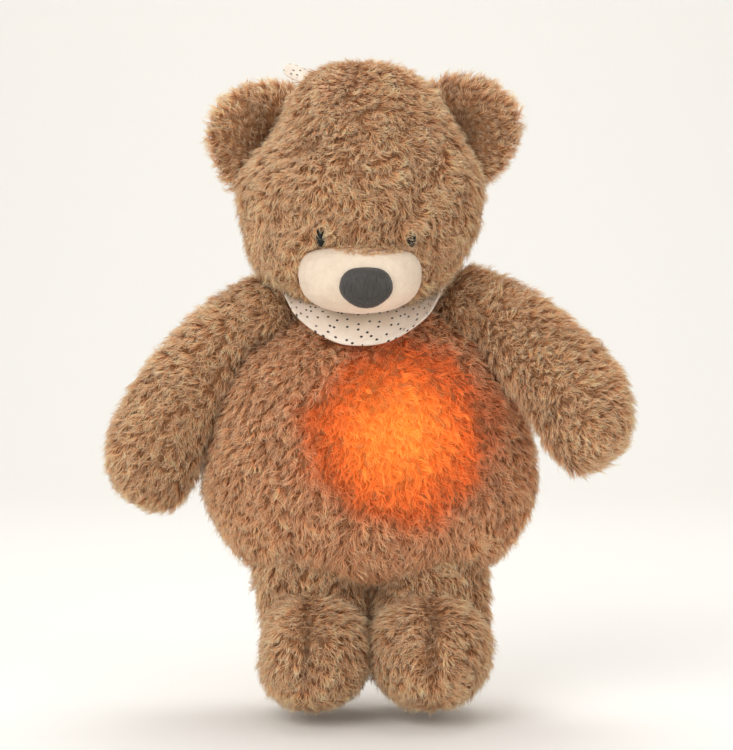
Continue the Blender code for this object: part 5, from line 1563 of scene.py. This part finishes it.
@dataclass
class Body:
    """The torso, the limbs and the pocket's flap."""

    lamp: Lamp
    taper: float = 0.035
    taper_level: float = -232 * MM
    taper_span: float = 34 * MM
    hip_level: float = -210 * MM
    hip_span: float = 30 * MM
    hip_longer: float = 0.2
    flow_span: float = 80 * MM
    flow_out: float = 0.5
    arm_flow_out: float = 0.35
    shoulder_share: float = 0.5
    toe_parting: float = 0.9
    toe_edge: float = 2 * MM
    toe_reach: float = 12 * MM
    shoulder_rise_left: float = 2 * MM
    shoulder_rise_right: float = 7 * MM
    paw_shift_right: tuple[float, float, float] = (-5.5 * MM, 0.0, 6 * MM)
    slimmer_left: float = 7 * MM
    slim_level: float = -280 * MM
    slim_span: float = 40 * MM
    inner_fill: float = 2.2 * MM
    seam_reach: float = 3.5 * MM
    seam_depth: float = 2.4 * MM
    seam_level: float = -276 * MM
    seam_span: float = 26 * MM
    # Painted shade along the toe's seam groove.
    seam_painted_shade: float = 0.75
    crease_reach: float = 8 * MM
    crease_shorter: float = 0.35
    # Painted shade in the crease beside the arms and the torso.
    crease_painted_shade: float = 0.55
    flap_margin: float = 6 * MM

    def build(self) -> None:
        """Build the torso first, then everything sewn to it."""
        torso = self.torso_skin()
        arms = {side: self.arm_skin(side) for side in ("left", "right")}
        self.torso(torso, list(arms.values()))
        for side in ("left", "right"):
            self.arm(side, arms[side], torso)
            self.leg(side)
        self.flap()

    def crease(self, skins: Sequence[bpy.types.Object]) -> tuple[Field, Field]:
        """How the pile shortens in the crease beside other skins, and the painted shade that darkens it there.

        Args:
            skins: The skins that it lies against.

        Returns:
            The pile's share of its length, and the painted shade as a change of its tone.
        """
        tree = tree_of(skins)

        def near(points: Rows) -> Rows:
            """Closeness to the other skins, from 0 to 1."""
            return 1 - np.clip(distances(points, tree, self.crease_reach) / self.crease_reach, 0, 1)

        def shorter(points: Rows, normals: Rows) -> Rows:
            """The pile's share of its length."""
            return 1 - self.crease_shorter * near(points)

        def darker(points: Rows, normals: Rows) -> Rows:
            """The painted shade in the crease, as a change of the pile's tone."""
            return -self.crease_painted_shade * near(points)

        return shorter, darker

    def skin(self, node: str, body: str, finish: Finish, voxel: float = 2.4 * MM) -> bpy.types.Object:
        """A stuffed skin that stands for a node.

        Args:
            node: The node that it stands for.
            body: The body that carries it.
            finish: Its finish.
            voxel: Side of the skin's faces.

        Returns:
            The skin.
        """
        skin = smooth_skin(node, f"{node}_backing", voxel)
        sewn(skin, finish, node, body)
        return skin

    def torso_skin(self) -> bpy.types.Object:
        """The belly and back, lit from inside in front.

        Returns:
            The skin.
        """
        lit = KnitBacking("lit knitted plush backing", lamp_place=tuple(self.lamp.centre))
        skin = self.skin("torso", "torso", lit)
        reshape(skin, self.tapered)
        return skin

    def torso(self, skin: bpy.types.Object, arms: Sequence[bpy.types.Object]) -> None:
        """The belly's and the back's pile.

        Args:
            skin: The torso's skin.
            arms: The arms' skins, which lie against it.
        """
        # darker is the painted shade in the crease beside the arms.
        shorter, darker = self.crease(arms)
        low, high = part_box("pocket_flap")
        margin = np.array((self.flap_margin, 0, self.flap_margin))
        cover_low, cover_high = np.array(low) + margin, np.array(high) - margin

        def outside(points: Rows, normals: Rows) -> Rows:
            """Keep pile out of the pocket and from under its flap.

            Args:
                points: Places, one a row.
                normals: The skin's outward direction at each place; not used.

            Returns:
                Above a half where the pile grows, for each place.
            """
            flat = points[:, (0, 2)]
            inside = np.all((flat > cover_low[[0, 2]]) & (flat < cover_high[[0, 2]]), axis=1)
            return 1.0 - (inside & (points[:, 1] > cover_low[1] - 60 * MM))

        def longer_below(points: Rows, normals: Rows) -> Rows:
            """Longer pile where the belly runs into the legs, and shorter beside the arms."""
            longer = 1 + self.hip_longer * np.clip((self.hip_level - points[:, 2]) / self.hip_span, 0, 1)
            return longer * shorter(points, normals)

        Pile(
            "torso_pile", skin, ("torso", "arm_left", "arm_right"), self.belly_flow, "torso", seed=31,
            crowd=("neckerchief", "head"), keep=outside, glow=self.lamp.share, length_share=longer_below,
            tone=darker,
        ).grow()

    def tapered(self, points: Rows, normals: Rows) -> Rows:
        """Draw the belly's lower sides in towards the legs.

        Args:
            points: Places, one a row.
            normals: The skin's outward direction at each place; not used.

        Returns:
            The new places.
        """
        moved = points.copy()
        moved[:, 0] *= 1 - self.taper * hill(points[:, 2], self.taper_level, self.taper_span)
        return moved

    def belly_flow(self, points: Rows, normals: Rows) -> Rows:
        """Pile that lies down and a little outwards.

        Args:
            points: Places, one a row.
            normals: The skin's outward direction at each place; not used.

        Returns:
            A direction for each place.
        """
        flow = np.tile((0.0, -0.1, -1.0), (len(points), 1))
        flow[:, 0] += points[:, 0] / self.flow_span * self.flow_out
        return flow

    @staticmethod
    def arm_ends(side: str) -> tuple[Rows, Rows]:
        """The upper end and the paw's end of one arm's box.

        Args:
            side: Either left or right.

        Returns:
            The shoulder's end and the paw's end.
        """
        low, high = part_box(f"arm_{side}")
        inner, outer = (high.x, low.x) if side == "left" else (low.x, high.x)
        middle = (low.y + high.y) / 2
        return np.array((inner, middle, high.z)), np.array((outer, middle, low.z))

    def arm_skin(self, side: str) -> bpy.types.Object:
        """One arm's skin, its shoulder filled out and its paw in its place.

        Args:
            side: Either left or right.

        Returns:
            The skin.
        """
        node = f"arm_{side}"
        skin = self.skin(node, node, Shop.backing)
        top, paw = self.arm_ends(side)
        rise = self.shoulder_rise_left if side == "left" else self.shoulder_rise_right
        shift = np.zeros(3) if side == "left" else np.array(self.paw_shift_right)

        def set_in(points: Rows, normals: Rows) -> Rows:
            """Fill the shoulder's upper side, and bring the paw to its place.

            Args:
                points: Places, one a row.
                normals: The skin's outward direction at each place.

            Returns:
                The new places.
            """
            down = np.clip((points - top) @ (paw - top) / ((paw - top) @ (paw - top)), 0, 1)
            moved = points + shift * (down * down)[:, None]
            moved[:, 2] += rise * np.clip(1 - down / self.shoulder_share, 0, 1) * np.clip(normals[:, 2], 0, 1)
            return moved

        reshape(skin, set_in)
        return skin

    def arm(self, side: str, skin: bpy.types.Object, torso: bpy.types.Object) -> None:
        """One arm's pile, which lies towards the paw.

        Args:
            side: Which arm.
            skin: The arm's skin.
            torso: The torso's skin, which it lies against.
        """
        node = f"arm_{side}"
        sign = -1 if side == "left" else 1
        top, paw = self.arm_ends(side)
        # darker is the painted shade in the crease beside the torso.
        shorter, darker = self.crease([torso])

        def along(points: Rows, normals: Rows) -> Rows:
            """Pile that lies from shoulder to paw and a little outwards."""
            way = unit((paw - top)[None])[0] + np.array((self.arm_flow_out * sign, 0.0, 0.0))
            return np.tile(way, (len(points), 1))

        Pile(
            f"{node}_pile", skin, (node, "torso"), along, node, seed=41 + sign, length_share=shorter, tone=darker
        ).grow()

    def leg(self, side: str) -> None:
        """One leg with its foot.

        Args:
            side: Either left or right.
        """
        body = f"leg_{side}"
        toe_low, toe_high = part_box(f"foot_{side}")
        toe = (toe_low.x + toe_high.x) / 2

        def parted(points: Rows, normals: Rows) -> Rows:
            """Pile that falls to both sides of the toe's seam.

            Args:
                points: Places, one a row.
                normals: The skin's outward direction at each place.

            Returns:
                A direction for each place.
            """
            flow = np.tile((0.0, -0.1, -1.0), (len(points), 1))
            out = points[:, 0] - toe
            parting = self.toe_parting * np.tanh(out / self.toe_edge) * np.exp(-np.abs(out) / self.toe_reach)
            flow[:, 0] += parting * (normals[:, 1] < -0.2)
            return flow

        def seam(points: Rows, normals: Rows) -> Rows:
            """Painted shade in the groove along the toe's seam."""
            along = hill(points[:, 2], self.seam_level, self.seam_span) * np.clip(-2 * normals[:, 1], 0, 1)
            return -self.seam_painted_shade * hill(points[:, 0], toe, 4 * MM) * along

        for node, flow, seed in (
            (f"leg_{side}", fall, 51),
            (f"foot_{side}", parted, 61),
        ):
            skin = self.skin(node, body, Shop.backing)
            low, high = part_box(node)
            middle, sign = (low.x + high.x) / 2, -1 if side == "left" else 1

            def fuller(points: Rows, normals: Rows) -> Rows:
                """Fill the leg's inner side, draw in its outer side and sink the toe's seam.

                Args:
                    points: Places, one a row.
                    normals: The skin's outward direction at each place.

                Returns:
                    The new places.
                """
                inner = np.clip(-sign * normals[:, 0], 0, 1)
                moved = points + normals * (self.inner_fill * inner)[:, None]
                outer = np.clip(sign * (points[:, 0] - middle) / (high.x - middle), 0, 1)
                slim = self.slimmer_left if side == "left" else 0.0
                moved[:, 0] -= sign * slim * outer * hill(points[:, 2], self.slim_level, self.slim_span)
                if node.startswith("foot"):
                    groove = hill(points[:, 0], toe, self.seam_reach) * np.clip(-normals[:, 1], 0, 1)
                    groove *= hill(points[:, 2], self.seam_level, self.seam_span)
                    moved -= normals * (self.seam_depth * groove)[:, None]
                return moved

            reshape(skin, fuller)
            Pile(
                f"{node}_pile", skin, (node, f"foot_{side}", f"leg_{side}", "torso"), flow, body,
                seed=seed + len(side), tone=seam if node.startswith("foot") else None,
            ).grow()

    def flap(self) -> None:
        """The pocket's flap, plush outside and bare backing inside."""
        panel = smooth_skin("pocket_flap", "pocket_flap_panel", 1.1 * MM, 3)
        sewn(panel, Shop.backing, "pocket_flap", "flap")

        def outer(points: Rows, normals: Rows) -> Rows:
            """Pile on the outer face and edges alone."""
            return (normals[:, 1] > -0.2).astype(float)

        piles = Pile(
            "pocket_flap_pile", panel, ("pocket_flap", "torso"), fall, "flap", length=7.6 * MM, seed=71, keep=outer
        ).grow()
        Shop.hook_tape.dress(frame["nodes"]["flap_hook_strip"])
        Shop.loop_tape.dress(frame["nodes"]["flap_loop_strip"])


@dataclass
class Pocket:
    """The cotton bag in the back, and the light and sound module in it."""

    wrinkle: float = 0.12 * MM
    wrinkle_wave: float = 16 * MM
    longest_edge: float = 5 * MM
    liner_flat: tuple[float, float] = (262 * MM, 85 * MM)
    liner_area: float = 0.0222

    def build(self) -> None:
        """Line the pocket, then finish the module's parts."""
        liner = node_copy("pocket_liner", "pocket_liner_cotton")
        bm = bmesh.new()
        bm.from_mesh(liner.data)
        for _ in range(5):
            long_edges = [edge for edge in bm.edges if edge.calc_length() > self.longest_edge]
            if not long_edges:
                break
            bmesh.ops.subdivide_edges(bm, edges=long_edges, cuts=1)
            bmesh.ops.triangulate(bm, faces=[face for face in bm.faces if len(face.verts) > 4])
        bm.to_mesh(liner.data)
        bm.free()
        points = points_of(liner.data)
        shift = self.wrinkle * drift(points, self.wrinkle_wave, 81)
        shift[points[:, 1] > points[:, 1].max() - 1 * MM] = 0
        points += np.array((0.7, 0.0, 0.7)) * shift[:, None]
        liner.data.vertices.foreach_set("co", points.ravel())
        liner.data.update()
        sewn(liner, Shop.lining, "pocket_liner", "torso")
        finishes = {
            Shop.casing: ("module_front_shell", "module_rear_shell", "battery_door"),
            Shop.diffuser: ("light_dome", "light_emitter_1", "light_emitter_2", "light_emitter_3"),
            Shop.board: ("circuit_board",),
            Shop.paper: ("speaker_cone",),
            Shop.silicone: ("light_button", "sound_button", "volume_button", "power_switch"),
            Shop.jacket: ("cell_1", "cell_2", "cell_3"),
            Shop.nickel: (
                "microphone", "speaker_basket", "door_screw", "casing_screw_1", "casing_screw_2", "casing_screw_3",
                "plate_contact_1", "plate_contact_2", "plate_contact_3", "spring_contact_1", "spring_contact_2",
                "spring_contact_3", "contact_spring_1", "contact_spring_2", "contact_spring_3",
            ),
        }
        for finish, nodes in finishes.items():
            for node in nodes:
                finish.dress(frame["nodes"][node])


@dataclass
class Studio:
    """A pale seamless sweep, soft lamps and the camera at the photograph's angle."""

    target: Vector = field(default_factory=lambda: Vector((-0.8 * MM, -65 * MM, -145.1 * MM)))
    distance: float = 1.2
    above: float = math.radians(3)
    view_angle: float = math.radians(18.5)
    floor_gap: float = 0.3 * MM

    def build(self) -> None:
        """Build the sweep, the lamps, the world and the camera."""
        self.sweep()
        self.lamp("key", (-0.9, -1.5, 0.9), 1.3, 19)
        self.lamp("fill", (1.3, -1.3, 0.15), 1.4, 8)
        self.lamp("top", (0.1, 0.35, 1.4), 1.2, 15)
        self.world()
        data = bpy.data.cameras.new("camera")
        data.sensor_fit = "VERTICAL"
        data.angle = self.view_angle
        camera = collect(bpy.data.objects.new("camera", data))
        way = Vector((0, -math.cos(self.above), math.sin(self.above)))
        camera.location = self.target + way * self.distance
        camera.rotation_euler = (-way).to_track_quat("-Z", "Y").to_euler()
        bpy.context.scene.camera = camera
        bpy.context.scene.view_settings.view_transform = "Standard"

    def sweep(self) -> None:
        """A floor that curves up into a backdrop."""
        floor_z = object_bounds()[0][2] - self.floor_gap
        radius, depth, width, height = 0.6, 1.6, 6.0, 3.0
        profile = [(-4.0, 0.0), (depth - radius, 0.0)]
        for angle in np.linspace(0, math.pi / 2, 17)[1:]:
            profile.append((depth - radius + radius * math.sin(angle), radius - radius * math.cos(angle)))
        profile.append((depth, height))
        points = [(side * width / 2, y, floor_z + z) for y, z in profile for side in (-1, 1)]
        faces = [(2 * i, 2 * i + 1, 2 * i + 3, 2 * i + 2) for i in range(len(profile) - 1)]
        sweep = mesh_piece("studio_sweep", np.array(points), faces)
        finish = Moulded("matt sweep paper", colour="F3F1ED", roughness=0.85, grain=3 * MM)
        finish.dress(sweep)
        sweep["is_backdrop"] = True

    def lamp(self, name: str, place: tuple[float, float, float], size: float, power: float) -> None:
        """A large soft lamp that faces the toy.

        Args:
            name: Its name.
            place: Where it stands.
            size: Its side.
            power: Its power in watts.
        """
        data = bpy.data.lights.new(name, "AREA")
        data.size = size
        data.energy = power
        lamp = collect(bpy.data.objects.new(name, data))
        lamp.location = place
        lamp.rotation_euler = (self.target - Vector(place)).to_track_quat("-Z", "Y").to_euler()

    def world(self) -> None:
        """A dim even sky that the camera sees as white."""
        world = bpy.data.worlds.new("studio")
        bpy.context.scene.world = world
        world.use_nodes = True
        tree = world.node_tree
        tree.nodes.clear()
        path = add_node(tree, "LightPath")
        direct = add_node(
            tree, "Math", {"operation": "MAXIMUM"},
            {0: path.outputs["Is Camera Ray"], 1: path.outputs["Is Glossy Ray"]},
        )
        seen = add_node(
            tree, "Math", {"operation": "MAXIMUM"}, {0: direct, 1: path.outputs["Is Transmission Ray"]}
        )
        strength = add_node(tree, "MapRange", {"To Min": 0.55, "To Max": 1.0}, {"Value": seen})
        sky = add_node(tree, "Background", {"Color": linear("F6F3EE")}, {"Strength": strength})
        add_node(tree, "OutputWorld", links={"Surface": sky})


def main() -> None:
    """Dress the toy, then light it and frame it."""
    logging.basicConfig(level=logging.INFO, format="%(name)s: %(message)s")
    low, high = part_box("light_dome")
    glow_centre = Vector(((low.x + high.x) / 2 + 1 * MM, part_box("torso")[0].y, (low.z + high.z) / 2 - 2 * MM))
    Head().build()
    Face().build()
    Strap().build()
    Body(Lamp(glow_centre)).build()
    Neckerchief().build()
    Pocket().build()
    Studio().build()


if __name__ == "__main__":
    main()
